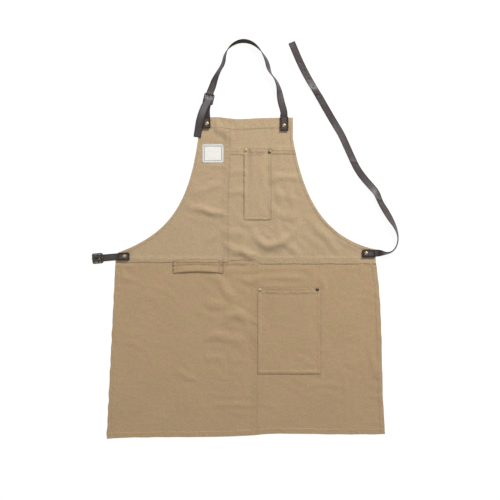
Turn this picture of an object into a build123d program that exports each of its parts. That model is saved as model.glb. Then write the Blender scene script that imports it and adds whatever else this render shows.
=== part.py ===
from build123d import *
import math
import os

# Canvas work apron with leather straps, laid flat on a surface with its front up.
# +X is to the right of a viewer facing the front, +Y runs from the hem to the bib,
# +Z points out of the front. The back of the cloth lies in the plane Z = 0.

# ---- driving dimensions, millimetres ----
canvas = 0.9  # one layer of canvas
gap = 0.05  # air between layers that lie on each other
seam_y = -58.0  # waist seam, where the bib meets the skirt
seam_half_gap = 0.1  # half of the gap across the waist seam
bib_top = 327.5
bib_top_hem = 26.0
bib_left_top = -107.0  # x of the bib's upper left corner
bib_right_top = 146.7
bib_seam_x = -27.0  # vertical seam of the bib
yoke_y = 238.0  # lower edge of the yoke
skirt_seam_x = 46.8  # vertical seam of the skirt
side_hem = 13.0
armhole_hem = 8.0
left_armhole = [(-109.6, 271.4), (-134.1, 86.5), (-193.8, 13.3), (-324.9, -35.8)]
right_armhole = [(146.6, 271.6), (171.8, 126.4), (220.8, 5.3), (369.5, -27.4)]
waist_left = -331.2
waist_right = 369.2
hem_left = (-355.0, -538.0)
hem_seam_y = -527.0  # y of the hem at the vertical seam
hem_right = (395.7, -525.4)
right_side = [(392.3, -213.3), (381.3, -369.6)]  # control points of the right side

# pockets: left x, right x, mouth y, bottom y
chest_pocket_edges = (13.9, 88.2, 244.6, 51.8)
hip_pocket_edges = (50.9, 222.3, -128.0, -363.5)
towel_loop_edges = (-177.3, -40.9, -61.0, -94.0)
pocket_gape = 5.2  # height of the gap behind a pocket's mouth or the towel loop
patch_centre = (-69.5, 231.5)
patch_size = (57.0, 50.0)
patch_thickness = 0.6

# leather
strap_width = 19.0
strap_thickness = 2.2
ply = 1.6  # one ply of the doubled buckle straps
strap_on_cloth = 1.9  # height of a strap's underside where it lies on the hemmed cloth
strap_on_table = 0.1
tab_thickness = 1.6

# rivets
post_radius = 1.6
post_clearance = 0.05
cap_radius = 4.8
cap_height = 1.7
back_radius = 4.8
back_height = 0.45
chest_rivet_radius = 4.4
neck_left_rivet = (-85.7, 312.1)
neck_right_rivet = (122.7, 307.0)
waist_left_rivet = (-307.7, -45.9)
waist_right_rivet = (344.7, -37.9)
chest_rivets = [(19.0, 239.5), (83.0, 235.1)]
hip_rivets = [(56.8, -137.4), (212.1, -135.5)]

# buckles: a ring with a centre bar, measured from the bar along the strap
ring_outer = 16.7  # bar to the ring's outer end
ring_inner = 13.5  # bar to the ring's inner end
ring_width = 28.4
outer_bar = 3.6
inner_bar = 4.0
side_bar = 3.5
ring_thickness = 2.6
bar_radius = 1.3
fit = 0.05  # running clearance of a buckle strap or prong on the bar
prong_width = 2.4
prong_eye_radius = 2.4
slot_width = 4.6
neck_bar = (-81.5, 376.7, 4.7)  # centre of the neck buckle's bar
neck_heading = 77.0  # direction from the bar to the ring's outer end, degrees from +X
neck_tilt = 3.0  # the ring's outer end is this many degrees lower
waist_bar = (-378.9, -51.8, 3.4)
waist_heading = 184.7
waist_tilt = 7.0

# The neck strap, from its rivet at the right corner round the loop to the buckle:
# x, y, height of its lowest edge, roll in degrees (0 lies flat, 90 stands on edge).
neck_loop = [
    (122.9, 298.0, 1.9, 0),
    (122.9, 333.0, 1.9, 0),
    (121.5, 348.0, 0.1, 0),
    (115.7, 366.0, 0.1, 4),
    (111.4, 387.0, 0.1, 26),
    (108.2, 409.0, 0.1, 58),
    (99.5, 431.0, 0.1, 77),
    (89.0, 443.5, 0.1, 86),
    (82.6, 455.0, 0.1, 66),
    (79.0, 468.0, 0.1, 56),
    (75.5, 481.0, 0.1, 64),
    (68.5, 495.0, 0.1, 76),
    (56.0, 514.0, 0.1, 94),
    (37.5, 529.5, 0.1, 110),
    (13.4, 535.8, 0.1, 118),
    (-9.5, 530.0, 0.1, 108),
    (-27.5, 516.0, 0.1, 92),
    (-37.5, 497.0, 0.1, 72),
    (-40.6, 474.0, 0.1, 60),
    (-53.0, 454.0, 0.1, 62),
    (-64.8, 430.0, 0.1, 34),
    (-70.8, 411.0, 0.1, 6),
]
# Its way through the buckle: distance beyond the bar, height of its middle.
neck_through_buckle = [(22.0, 1.2), (16.0, 1.25), (12.2, 1.45), (10.5, 2.3), (1.5, 9.0), (-4.0, 9.15)]
# Its tail over the buckle strap and the corner of the bib: x, y, height of its middle.
neck_tail = [
    (-89.8, 361.5, 9.0),
    (-97.6, 343.4, 8.7),
    (-104.6, 321.8, 8.6),
    (-108.4, 299.0, 4.6),
    (-112.0, 275.0, 3.1),
]

# The waist strap, from its rivet at the right corner of the waist to its free end.
waist_loop = [
    (335.0, -37.9, 1.9, 0),
    (356.0, -38.0, 1.9, 0),
    (372.0, -37.6, 1.9, 0),
    (384.0, -37.0, 0.5, 40),
    (396.0, -38.4, 0.1, 72),
    (409.0, -36.4, 0.1, 82),
    (420.0, -28.5, 0.1, 82),
    (427.0, -16.5, 0.1, 82),
    (430.5, 0.0, 0.1, 82),
    (428.0, 18.0, 0.1, 76),
    (420.5, 36.0, 0.1, 62),
    (408.5, 56.0, 0.1, 36),
    (395.5, 78.0, 0.1, 28),
    (382.0, 100.0, 0.1, 40),
    (372.2, 126.0, 0.1, 24),
    (356.0, 144.0, 0.1, 6),
    (335.0, 168.0, 0.1, 0),
    (317.8, 193.0, 0.1, 14),
    (305.0, 221.0, 0.1, 12),
    (291.9, 250.0, 0.1, 10),
    (277.2, 283.0, 0.1, 8),
    (258.0, 314.0, 0.1, 0),
    (237.0, 350.0, 0.1, 0),
    (219.0, 382.0, 0.1, 6),
    (205.5, 404.0, 0.1, 22),
    (190.0, 430.0, 0.1, 8),
    (172.0, 464.0, 0.1, 0),
    (156.5, 498.0, 0.1, 0),
    (142.8, 531.6, 0.1, 0),
]
strap_holes = [60.0, 85.0, 110.0, 135.0, 160.0]  # adjusting holes, from the free end
strap_hole_radius = 1.7

os.makedirs("parts", exist_ok=True)


def save(part, name):
    part.label = name
    export_step(part, f"parts/{name}.step")
    print(f"{name}: {len(part.solids())} solids, {part.volume / 1000:.2f} cm3, valid {part.is_valid}")


# ---- cloth panels ----


def cut_rivet_hole(at):
    """Hole for a rivet's post, with the hollow under the cloth that its back sits in."""
    with BuildSketch(Plane.XY) as post:
        with Locations(at):
            Circle(post_radius + post_clearance)
    extrude(post.sketch, amount=3 * canvas, mode=Mode.SUBTRACT)
    with BuildSketch(Plane.XY) as hollow:
        with Locations(at):
            Circle(back_radius + 0.2)
    extrude(hollow.sketch, amount=back_height + 2 * gap, mode=Mode.SUBTRACT)


def bib_left_outline():
    with BuildLine() as outline:
        Polyline((bib_seam_x, bib_top), (bib_left_top, bib_top), left_armhole[0])
        Bezier(*left_armhole)
        Polyline(
            left_armhole[-1],
            (waist_left, seam_y + seam_half_gap),
            (bib_seam_x, seam_y + seam_half_gap),
            (bib_seam_x, bib_top),
        )
    return outline.edges()


def bib_right_outline():
    with BuildLine() as outline:
        Polyline((bib_seam_x, bib_top), (bib_right_top, bib_top), right_armhole[0])
        Bezier(*right_armhole)
        Polyline(
            right_armhole[-1],
            (waist_right, seam_y + seam_half_gap),
            (bib_seam_x, seam_y + seam_half_gap),
            (bib_seam_x, bib_top),
        )
    return outline.edges()


def armhole_line(points):
    with BuildLine() as line:
        Bezier(*points)
    return line.edges()


def top_hem_area():
    """The turned band along the top of the bib."""
    with Locations((20, bib_top - bib_top_hem / 2)):
        Rectangle(400, bib_top_hem, mode=Mode.INTERSECT)


def left_bib():
    with BuildPart() as panel:
        with BuildSketch(Plane.XY):
            make_face(bib_left_outline())
        extrude(amount=canvas)
        with BuildSketch(Plane.XY.offset(canvas)):
            make_face(bib_left_outline())
            trace(armhole_line(left_armhole), 2 * armhole_hem, mode=Mode.INTERSECT)
        extrude(amount=canvas)
        with BuildSketch(Plane.XY.offset(canvas)):
            make_face(bib_left_outline())
            top_hem_area()
        extrude(amount=canvas)
        cut_rivet_hole(neck_left_rivet)
        cut_rivet_hole(waist_left_rivet)
    save(panel.part, "bib_left_panel")


def yoke():
    middle = (bib_top + yoke_y) / 2
    with BuildPart() as panel:
        with BuildSketch(Plane.XY):
            make_face(bib_right_outline())
            with Locations((60, middle)):
                Rectangle(400, bib_top - yoke_y, mode=Mode.INTERSECT)
        extrude(amount=canvas)
        with BuildSketch(Plane.XY.offset(canvas)):
            make_face(bib_right_outline())
            top_hem_area()
        extrude(amount=canvas)
        cut_rivet_hole(neck_right_rivet)
        for at in chest_rivets:
            cut_rivet_hole(at)
    save(panel.part, "bib_yoke")


def right_bib():
    middle = (yoke_y + seam_y) / 2
    with BuildPart() as panel:
        with BuildSketch(Plane.XY):
            make_face(bib_right_outline())
            with Locations((170, middle)):
                Rectangle(500, yoke_y - seam_y, mode=Mode.INTERSECT)
        extrude(amount=canvas)
        with BuildSketch(Plane.XY.offset(canvas)):
            make_face(bib_right_outline())
            trace(armhole_line(right_armhole), 2 * armhole_hem, mode=Mode.INTERSECT)
            with Locations((170, middle)):
                Rectangle(500, yoke_y - seam_y, mode=Mode.INTERSECT)
        extrude(amount=canvas)
        cut_rivet_hole(waist_right_rivet)
        for at in chest_rivets:
            cut_rivet_hole(at)
    save(panel.part, "bib_right_panel")


def skirt_left():
    seam = seam_y - seam_half_gap
    with BuildPart() as panel:
        with BuildSketch(Plane.XY):
            with BuildLine():
                Polyline(
                    (waist_left, seam),
                    hem_left,
                    (skirt_seam_x, hem_seam_y),
                    (skirt_seam_x, seam),
                    close=True,
                )
            make_face()
        extrude(amount=canvas)
        with BuildSketch(Plane.XY.offset(canvas)):
            with BuildLine():
                Polyline(
                    (waist_left, seam),
                    hem_left,
                    (skirt_seam_x, hem_seam_y),
                    (skirt_seam_x, hem_seam_y + side_hem),
                    (hem_left[0] + side_hem, hem_left[1] + side_hem),
                    (waist_left + side_hem, seam),
                    close=True,
                )
            make_face()
        extrude(amount=canvas)
    save(panel.part, "skirt_left_panel")


def skirt_right():
    seam = seam_y - seam_half_gap
    inner = [(x - side_hem, y) for x, y in right_side]
    with BuildPart() as panel:
        with BuildSketch(Plane.XY):
            with BuildLine():
                Bezier((waist_right, seam), *right_side, hem_right)
                Polyline(
                    hem_right,
                    (skirt_seam_x, hem_seam_y),
                    (skirt_seam_x, seam),
                    (waist_right, seam),
                )
            make_face()
        extrude(amount=canvas)
        with BuildSketch(Plane.XY.offset(canvas)):
            with BuildLine():
                Bezier((waist_right, seam), *right_side, hem_right)
                Polyline(
                    hem_right,
                    (skirt_seam_x, hem_seam_y),
                    (skirt_seam_x, hem_seam_y + side_hem),
                    (hem_right[0] - side_hem, hem_right[1] + side_hem),
                )
                Bezier(
                    (hem_right[0] - side_hem, hem_right[1] + side_hem),
                    inner[1],
                    inner[0],
                    (waist_right - side_hem, seam),
                )
                Line((waist_right - side_hem, seam), (waist_right, seam))
            make_face()
        extrude(amount=canvas)
        for at in hip_rivets:
            cut_rivet_hole(at)
    save(panel.part, "skirt_right_panel")


# ---- pockets, towel loop and patch ----


def arch_points(left, right, flange, ramp, rise):
    """Section of a patch sewn down at both sides, whose middle stands up by rise."""
    base = canvas + gap
    top = base + canvas
    lower = [
        (right, base),
        (right - flange, base),
        (right - ramp, base + rise),
        (left + ramp, base + rise),
        (left + flange, base),
        (left, base),
    ]
    upper = [
        (left, top),
        (left + flange, top),
        (left + ramp, top + rise),
        (right - ramp, top + rise),
        (right - flange, top),
        (right, top),
    ]
    return lower + upper


def arched_cloth(edges, flange, ramp, bottom_rise):
    """Loft from the mouth down, so the gap behind it narrows from pocket_gape to bottom_rise."""
    left, right, mouth, bottom = edges
    sections = []
    for y, rise in ((mouth, pocket_gape), (bottom, bottom_rise)):
        with BuildSketch(Plane.XZ.offset(-y)) as section:
            with BuildLine():
                Polyline(*arch_points(left, right, flange, ramp, rise), close=True)
            make_face()
        sections.append(section.sketch)
    loft(sections, ruled=True)


def pocket(name, edges, flange, ramp, rivets):
    with BuildPart() as part:
        arched_cloth(edges, flange, ramp, 0.3)
        with BuildSketch(Plane.XY):
            with Locations(*rivets):
                Circle(post_radius + post_clearance)
        extrude(amount=4 * canvas, mode=Mode.SUBTRACT)
    save(part.part, name)


def towel_loop():
    with BuildPart() as part:
        arched_cloth(towel_loop_edges, 14, 36, pocket_gape)
    save(part.part, "towel_loop")


def patch():
    with BuildPart() as part:
        with BuildSketch(Plane.XY.offset(canvas + gap)):
            with Locations(patch_centre):
                RectangleRounded(*patch_size, 2)
        extrude(amount=patch_thickness)
    save(part.part, "plain_patch")


# ---- rivets ----


def rivet(at, under_cap, radius=cap_radius):
    """Domed cap with its post, which reaches down through the layers."""
    edge = 0.6
    top = under_cap + cap_height
    dome = cap_height - edge
    sphere = (radius**2 + dome**2) / (2 * dome)
    half_angle = math.asin(radius / sphere) / 2
    middle = (sphere * math.sin(half_angle), top - sphere * (1 - math.cos(half_angle)))
    with BuildSketch(Plane(origin=(at[0], at[1], 0), x_dir=(1, 0, 0), z_dir=(0, -1, 0))) as half:
        with BuildLine():
            Polyline(
                (0, 2 * gap),
                (post_radius, 2 * gap),
                (post_radius, under_cap),
                (radius, under_cap),
                (radius, under_cap + edge),
            )
            ThreePointArc((radius, under_cap + edge), middle, (0, top))
            Line((0, top), (0, 2 * gap))
        make_face()
    revolve(half.sketch, axis=Axis((at[0], at[1], 0), (0, 0, 1)))


def rivets(name, places, radius=cap_radius):
    """places lists each rivet's (x, y) and the height of its cap's underside."""
    with BuildPart() as part:
        for at, under_cap in places:
            rivet(at, under_cap, radius)
    save(part.part, name)


def rivet_backs(name, places):
    with BuildPart() as part:
        with BuildSketch(Plane.XY.offset(gap)):
            with Locations(*places):
                Circle(back_radius)
                Circle(post_radius + post_clearance, mode=Mode.SUBTRACT)
        extrude(amount=back_height)
    save(part.part, name)


# ---- leather tabs ----


def tab(name, corner_low, corner_high, underside, rivet_at):
    width = corner_high[0] - corner_low[0]
    height = corner_high[1] - corner_low[1]
    centre = (corner_low[0] + width / 2, corner_low[1] + height / 2)
    with BuildPart() as part:
        with BuildSketch(Plane.XY.offset(underside)):
            with Locations(centre):
                RectangleRounded(width, height, 1.2)
            with Locations(rivet_at):
                Circle(post_radius + post_clearance, mode=Mode.SUBTRACT)
        extrude(amount=tab_thickness)
    save(part.part, name)


# ---- buckles ----


def buckle_planes(bar, heading, tilt):
    """Plane of the ring, and the upright plane along the strap through its middle."""
    across = Vector(0, 1, 0).rotate(Axis.Z, heading)
    outward = Vector(1, 0, 0).rotate(Axis.Z, heading)
    lowered = outward.rotate(Axis((0, 0, 0), tuple(across)), tilt)
    ring = Plane(origin=bar, x_dir=lowered, z_dir=lowered.cross(across))
    side = Plane(origin=(bar[0], bar[1], 0), x_dir=outward, z_dir=outward.cross(Vector(0, 0, 1)))
    return ring, side


def buckle_ring(name, bar, heading, tilt):
    ring, _ = buckle_planes(bar, heading, tilt)
    low = ring.offset(-ring_thickness / 2)
    middle = (ring_outer - ring_inner) / 2
    hole_middle = (ring_outer - outer_bar - ring_inner + inner_bar) / 2
    with BuildPart() as part:
        with BuildSketch(low):
            with Locations((middle, 0)):
                RectangleRounded(ring_outer + ring_inner, ring_width, 5)
            with Locations((hole_middle, 0)):
                RectangleRounded(
                    ring_outer - outer_bar + ring_inner - inner_bar,
                    ring_width - 2 * side_bar,
                    2,
                    mode=Mode.SUBTRACT,
                )
        extrude(amount=ring_thickness)
        fillet(part.edges(), 0.7)
        bar_length = ring_width - 2 * side_bar + 2
        start = Plane(origin=ring.from_local_coords(Vector(0, -bar_length / 2, 0)), z_dir=ring.y_dir)
        with BuildSketch(start):
            Circle(bar_radius)
        extrude(amount=bar_length)
    save(part.part, name)


def buckle_prong(name, bar, heading, tilt):
    """An eye round the bar, with an arm whose tip rests on the ring's outer bar."""
    ring, _ = buckle_planes(bar, heading, tilt)
    upright = Plane(origin=bar, x_dir=ring.x_dir, z_dir=ring.x_dir.cross(ring.z_dir))
    on_bar = ring_thickness / 2 + 0.06
    tip = ring_outer + 1.0
    with BuildPart() as part:
        with BuildSketch(upright.offset(-1.8)):
            Circle(prong_eye_radius)
        extrude(amount=3.6)
        with BuildSketch(upright.offset(-prong_width / 2)):
            with BuildLine():
                Polyline(
                    (0.5, -0.9),
                    (ring_outer - outer_bar - 0.9, on_bar),
                    (tip, on_bar),
                    (tip - 0.3, on_bar + 0.9),
                    (ring_outer - outer_bar, on_bar + 1.3),
                    (0.5, 1.5),
                    close=True,
                )
            make_face()
        extrude(amount=prong_width)
        with BuildSketch(upright.offset(-5)):
            Circle(bar_radius + fit)
        extrude(amount=10, mode=Mode.SUBTRACT)
    save(part.part, name)


def buckle_strap(name, bar, heading, tilt, path, rivet_at, meet, ramp_start, ramp_end, far):
    """Strap doubled round the buckle's bar; both plies run back to the rivet.

    meet, ramp_start, ramp_end and far are distances from the bar, back along the strap: where the
    plies meet, where the strap starts to rise to the cloth, where it is up, and past its end.
    """
    _, side = buckle_planes(bar, heading, tilt)
    height = bar[2]
    inner = bar_radius + fit
    outer = inner + ply
    table = strap_on_table
    cloth = strap_on_cloth
    both = 2 * ply
    slope = math.atan2(height + outer - table - both, meet)
    for _ in range(20):
        slope = math.atan2(height + outer / math.cos(slope) - table - both, meet)
    touch_out = (-outer * math.sin(slope), height + outer * math.cos(slope))
    touch_in = (-inner * math.sin(slope), height + inner * math.cos(slope))
    with BuildPart() as part:
        with BuildSketch(Plane.XY):
            with BuildLine():
                FilletPolyline(*path, radius=40) if len(path) > 2 else Line(*path)
            trace(line_width=strap_width)
        extrude(amount=20)
        with BuildSketch(side):
            with BuildLine():
                Line(touch_out, (-meet, table + both))
                Polyline(
                    (-meet, table + both),
                    (-ramp_start, table + both),
                    (-ramp_end, cloth + both),
                    (-far, cloth + both),
                    (-far, cloth),
                    (-ramp_end, cloth),
                    (-ramp_start, table),
                    (-meet, table),
                    (0, height - outer),
                )
                ThreePointArc((0, height - outer), (outer, height), touch_out)
            make_face()
            with BuildLine():
                Line(touch_in, (-meet + 0.6, table + ply + 0.1))
                Line((-meet + 0.6, table + ply + 0.1), (0, height - inner))
                ThreePointArc((0, height - inner), (inner, height), touch_in)
            make_face(mode=Mode.SUBTRACT)
        extrude(amount=40, both=True, mode=Mode.INTERSECT)
        slot_back = meet - 1.5
        with BuildSketch(side.offset(-slot_width / 2)):
            with Locations(((outer + 1 - slot_back) / 2, height)):
                Rectangle(outer + 1 + slot_back, 20)
        extrude(amount=slot_width, mode=Mode.SUBTRACT)
        with BuildSketch(Plane.XY):
            with Locations(rivet_at):
                Circle(post_radius + post_clearance)
        extrude(amount=20, mode=Mode.SUBTRACT)
    save(part.part, name)


# ---- long straps ----


def resting_middle(lowest, roll):
    """Height of a strap's middle when its lowest edge is at this height."""
    turn = math.radians(roll)
    return lowest + abs(math.sin(turn)) * strap_width / 2 + abs(math.cos(turn)) * strap_thickness / 2


def ribbon(route):
    """Loft a strap along (x, y, z, roll) points; roll turns its face outwards, right of travel."""
    points = [Vector(x, y, z) for x, y, z, _ in route]
    sections = []
    for i, (x, y, z, roll) in enumerate(route):
        before = points[max(i - 1, 0)]
        after = points[min(i + 1, len(points) - 1)]
        along = (after - before).normalized()
        if 0 < i < len(points) - 1:
            along = ((after - points[i]).normalized() + (points[i] - before).normalized()).normalized()
        right = along.cross(Vector(0, 0, 1)).normalized()
        up = right.cross(along)
        turn = math.radians(roll)
        width_dir = right * math.cos(turn) - up * math.sin(turn)
        with BuildSketch(Plane(origin=points[i], x_dir=width_dir, z_dir=along)) as section:
            Rectangle(strap_width, strap_thickness)
        sections.append(section.sketch)
    loft(sections, ruled=True)


def route_length(route):
    points = [Vector(x, y, z) for x, y, z, _ in route]
    return sum((b - a).length for a, b in zip(points, points[1:]))


def neck_strap():
    route = [(x, y, resting_middle(low, roll), roll) for x, y, low, roll in neck_loop]
    turn = math.radians(neck_heading)
    for out, z in neck_through_buckle:
        route.append((neck_bar[0] + out * math.cos(turn), neck_bar[1] + out * math.sin(turn), z, 0))
    route += [(x, y, z, 0) for x, y, z in neck_tail]
    _, side = buckle_planes(neck_bar, neck_heading, neck_tilt)
    along_floor = Plane(origin=(neck_bar[0], neck_bar[1], 0), x_dir=side.x_dir, z_dir=(0, 0, 1))
    with BuildPart() as part:
        ribbon(route)
        with BuildSketch(along_floor):
            with Locations((6.4, 0)):
                SlotOverall(10.4, 3.6)
        extrude(amount=20, mode=Mode.SUBTRACT)
        with BuildSketch(Plane.XY):
            with Locations(neck_right_rivet):
                Circle(post_radius + post_clearance)
        extrude(amount=20, mode=Mode.SUBTRACT)
    print(f"neck strap length {route_length(route):.0f} mm")
    save(part.part, "neck_strap")


def waist_strap():
    route = [(x, y, resting_middle(low, roll), roll) for x, y, low, roll in waist_loop]
    points = [Vector(x, y, 0) for x, y, _, _ in route]
    with BuildPart() as part:
        ribbon(route)
        places = []
        for distance in strap_holes:
            left = distance
            for b, a in zip(reversed(points), reversed(points[:-1])):
                span = (b - a).length
                if left <= span:
                    places.append(b + (a - b) * (left / span))
                    break
                left -= span
        with BuildSketch(Plane.XY):
            with Locations(*places):
                Circle(strap_hole_radius)
        extrude(amount=20, mode=Mode.SUBTRACT)
        with BuildSketch(Plane.XY):
            with Locations(waist_right_rivet):
                Circle(post_radius + post_clearance)
        extrude(amount=20, mode=Mode.SUBTRACT)
    print(f"waist strap length {route_length(route):.0f} mm")
    save(part.part, "waist_strap")


left_bib()
yoke()
right_bib()
skirt_left()
skirt_right()
pocket("chest_pocket", chest_pocket_edges, 10, 22, chest_rivets)
pocket("hip_pocket", hip_pocket_edges, 17, 46, hip_rivets)
towel_loop()
patch()

single_top = strap_on_cloth + strap_thickness + gap  # underside of a tab over a single strap
double_top = strap_on_cloth + 2 * ply + gap  # underside of a tab over a doubled strap
tab("neck_tab_left", (-95.6, 298.1), (-76.4, 328.0), double_top, neck_left_rivet)
tab("neck_tab_right", (111.9, 292.1), (134.1, 337.5), single_top, neck_right_rivet)
tab("waist_tab_left", (-326.3, -57.6), (-294.7, -36.6), double_top, waist_left_rivet)
tab("waist_tab_right", (333.0, -49.5), (368.1, -28.5), single_top, waist_right_rivet)
double_cap = double_top + tab_thickness + gap
single_cap = single_top + tab_thickness + gap
strap_rivet_places = [
    (neck_left_rivet, double_cap),
    (neck_right_rivet, single_cap),
    (waist_left_rivet, double_cap),
    (waist_right_rivet, single_cap),
]
pocket_cap = 2 * canvas + 2 * gap
rivets("strap_rivets", strap_rivet_places)
rivet_backs("strap_rivet_backs", [at for at, _ in strap_rivet_places])
rivets("chest_pocket_rivets", [(at, pocket_cap) for at in chest_rivets], chest_rivet_radius)
rivet_backs("chest_pocket_rivet_backs", chest_rivets)
rivets("hip_pocket_rivets", [(at, pocket_cap) for at in hip_rivets])
rivet_backs("hip_pocket_rivet_backs", hip_rivets)

buckle_ring("neck_buckle_frame", neck_bar, neck_heading, neck_tilt)
buckle_prong("neck_buckle_prong", neck_bar, neck_heading, neck_tilt)
neck_turn = math.radians(neck_heading)
neck_path = [
    (neck_bar[0] + 6 * math.cos(neck_turn), neck_bar[1] + 6 * math.sin(neck_turn)),
    (neck_bar[0] - 16 * math.cos(neck_turn), neck_bar[1] - 16 * math.sin(neck_turn)),
    (neck_left_rivet[0], neck_left_rivet[1] - 9),
]
buckle_strap(
    "neck_buckle_strap", neck_bar, neck_heading, neck_tilt, neck_path, neck_left_rivet, 10, 28, 42, 90
)

buckle_ring("waist_buckle_frame", waist_bar, waist_heading, waist_tilt)
buckle_prong("waist_buckle_prong", waist_bar, waist_heading, waist_tilt)
waist_turn = math.radians(waist_heading)
waist_path = [
    (waist_bar[0] + 6 * math.cos(waist_turn), waist_bar[1] + 6 * math.sin(waist_turn)),
    (waist_bar[0] - 81 * math.cos(waist_turn), waist_bar[1] - 81 * math.sin(waist_turn)),
]
buckle_strap(
    "waist_buckle_strap", waist_bar, waist_heading, waist_tilt, waist_path, waist_left_rivet, 8, 30, 44, 90
)

neck_strap()
waist_strap()
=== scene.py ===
import functools
import math

import bmesh
import bpy
import numpy as np
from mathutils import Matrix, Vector


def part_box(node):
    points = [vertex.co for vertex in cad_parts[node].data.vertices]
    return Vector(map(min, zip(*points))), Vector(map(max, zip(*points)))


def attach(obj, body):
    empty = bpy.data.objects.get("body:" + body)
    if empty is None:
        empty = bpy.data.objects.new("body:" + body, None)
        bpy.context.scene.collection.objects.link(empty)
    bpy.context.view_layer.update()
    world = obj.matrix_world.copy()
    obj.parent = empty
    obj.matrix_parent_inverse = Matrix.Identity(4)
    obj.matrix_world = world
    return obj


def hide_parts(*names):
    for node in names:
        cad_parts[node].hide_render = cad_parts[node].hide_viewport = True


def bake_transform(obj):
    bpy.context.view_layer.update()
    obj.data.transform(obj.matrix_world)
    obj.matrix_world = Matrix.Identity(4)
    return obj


# Canvas work apron with leather straps, lying on a pale floor with its front up.
# Sizes below are millimetres in the row frame; meshes are written in metres.

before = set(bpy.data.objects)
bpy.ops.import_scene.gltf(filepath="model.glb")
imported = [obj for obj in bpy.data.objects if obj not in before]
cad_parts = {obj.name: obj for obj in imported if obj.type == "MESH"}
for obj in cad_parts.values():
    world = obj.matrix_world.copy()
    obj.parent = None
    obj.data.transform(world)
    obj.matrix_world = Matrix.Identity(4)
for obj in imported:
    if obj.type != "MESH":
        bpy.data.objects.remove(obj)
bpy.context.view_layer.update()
MM = 0.001

# ---- cloth ----
layer = 0.85  # one layer of canvas
air = 0.05  # between layers that lie on each other
table = 0.04  # the cloth's underside rests this far above the floor
side_hem = 13.0
bottom_hem = 14.0
armhole_hem = 8.0
top_hem = 28.4
lap = 10.4  # how far one panel reaches over the next at a lapped seam
first_row = 1.5  # rows of stitches, from a lapped seam's edge
second_row = 5.6
bib_seam_top = -22.6  # folded edge of the left bib panel, at its top
bib_seam_drift = -6.5  # how far that edge has wandered at the waist
skirt_seam = 51.2  # folded edge of the left skirt panel
yoke_edge_left = 227.3
yoke_edge_right = 229.6
waist_edge_left = -62.8  # folded lower edge of the bib's left panel
waist_edge_middle = -56.6  # of its right panel, up to the skirt's seam
waist_edge_right = -67.2  # of its right panel, past that seam
waist_row = 1.7  # rows of stitches above the bib's lower edge: all along, then left of the skirt's seam
left_waist_row = 5.8
right_waist_rows = (9.4, lap + 3.4)  # and right of it
short_row_y = -69.0  # a short row of stitches between the loop and the skirt's seam
yoke_rows = (1.8, 14.8)  # rows of stitches above the yoke's lower edge
yoke_tuck = 9.5  # a pressed line between them
armhole_row = armhole_hem - 1.6  # rows of stitches along the hems, from the outer edge
top_row = top_hem - 1.4
side_row = side_hem - 1.8
bottom_row = bottom_hem - 1.8
yoke_overlap_top = 246.5  # upper edge of the lower right bib panel, hidden under the yoke
waist_top = -49.0  # upper edge of the skirt, hidden under the bib
left_armhole = [(-109.6, 271.4), (-134.1, 86.5), (-193.8, 13.3), (-324.9, -35.8)]
right_armhole = [(146.6, 271.6), (171.8, 126.4), (220.8, 5.3), (369.5, -27.4)]
right_side = [(370.2, -58.0), (393.0, -213.3), (381.3, -369.6), (395.9, -525.6)]
bib_corners = ((-107.0, 327.5), (146.7, 327.5))
waist_corners = ((-332.4, -58.0), (370.2, -58.0))
hem_corner_left = (-356.6, -538.0)
hem_middle_y = -528.6  # lower edge at the skirt's seam
hem_line = [
    (-356.6, -539.4), (-318.0, -536.2), (-281.0, -535.0), (-60.0, -533.8), (5.0, -531.6), (50.0, -528.6),
    (78.0, -525.6), (110.0, -524.4), (160.0, -525.3), (240.0, -526.8), (330.0, -527.2), (395.9, -526.2),
]
chest_rivets = ((19.0, 239.5), (83.0, 235.1))
hip_rivets = ((56.8, -137.4), (212.1, -135.5))
strap_rivets = ((-85.7, 312.1), (122.7, 307.0), (-307.7, -45.9), (344.7, -37.9))
under_straps = 1.84  # the cloth is pressed to this height under the straps and tabs
press_margin = 5.0  # how far round the tabs it is pressed, for the straps to swing over
swing_corners = ((-333.0, -57.0), (371.0, -50.0))  # where the waist straps swing over the edge
swing_height = 1.5
cap_seat = 1.86  # a pocket is pressed to this height under its rivets
pressed_yoke = 0.46  # thickness of the yoke under the chest pocket's rivets
back_radius = 5.0  # hollow for a rivet's back, under the cloth
back_height = 0.56

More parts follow.
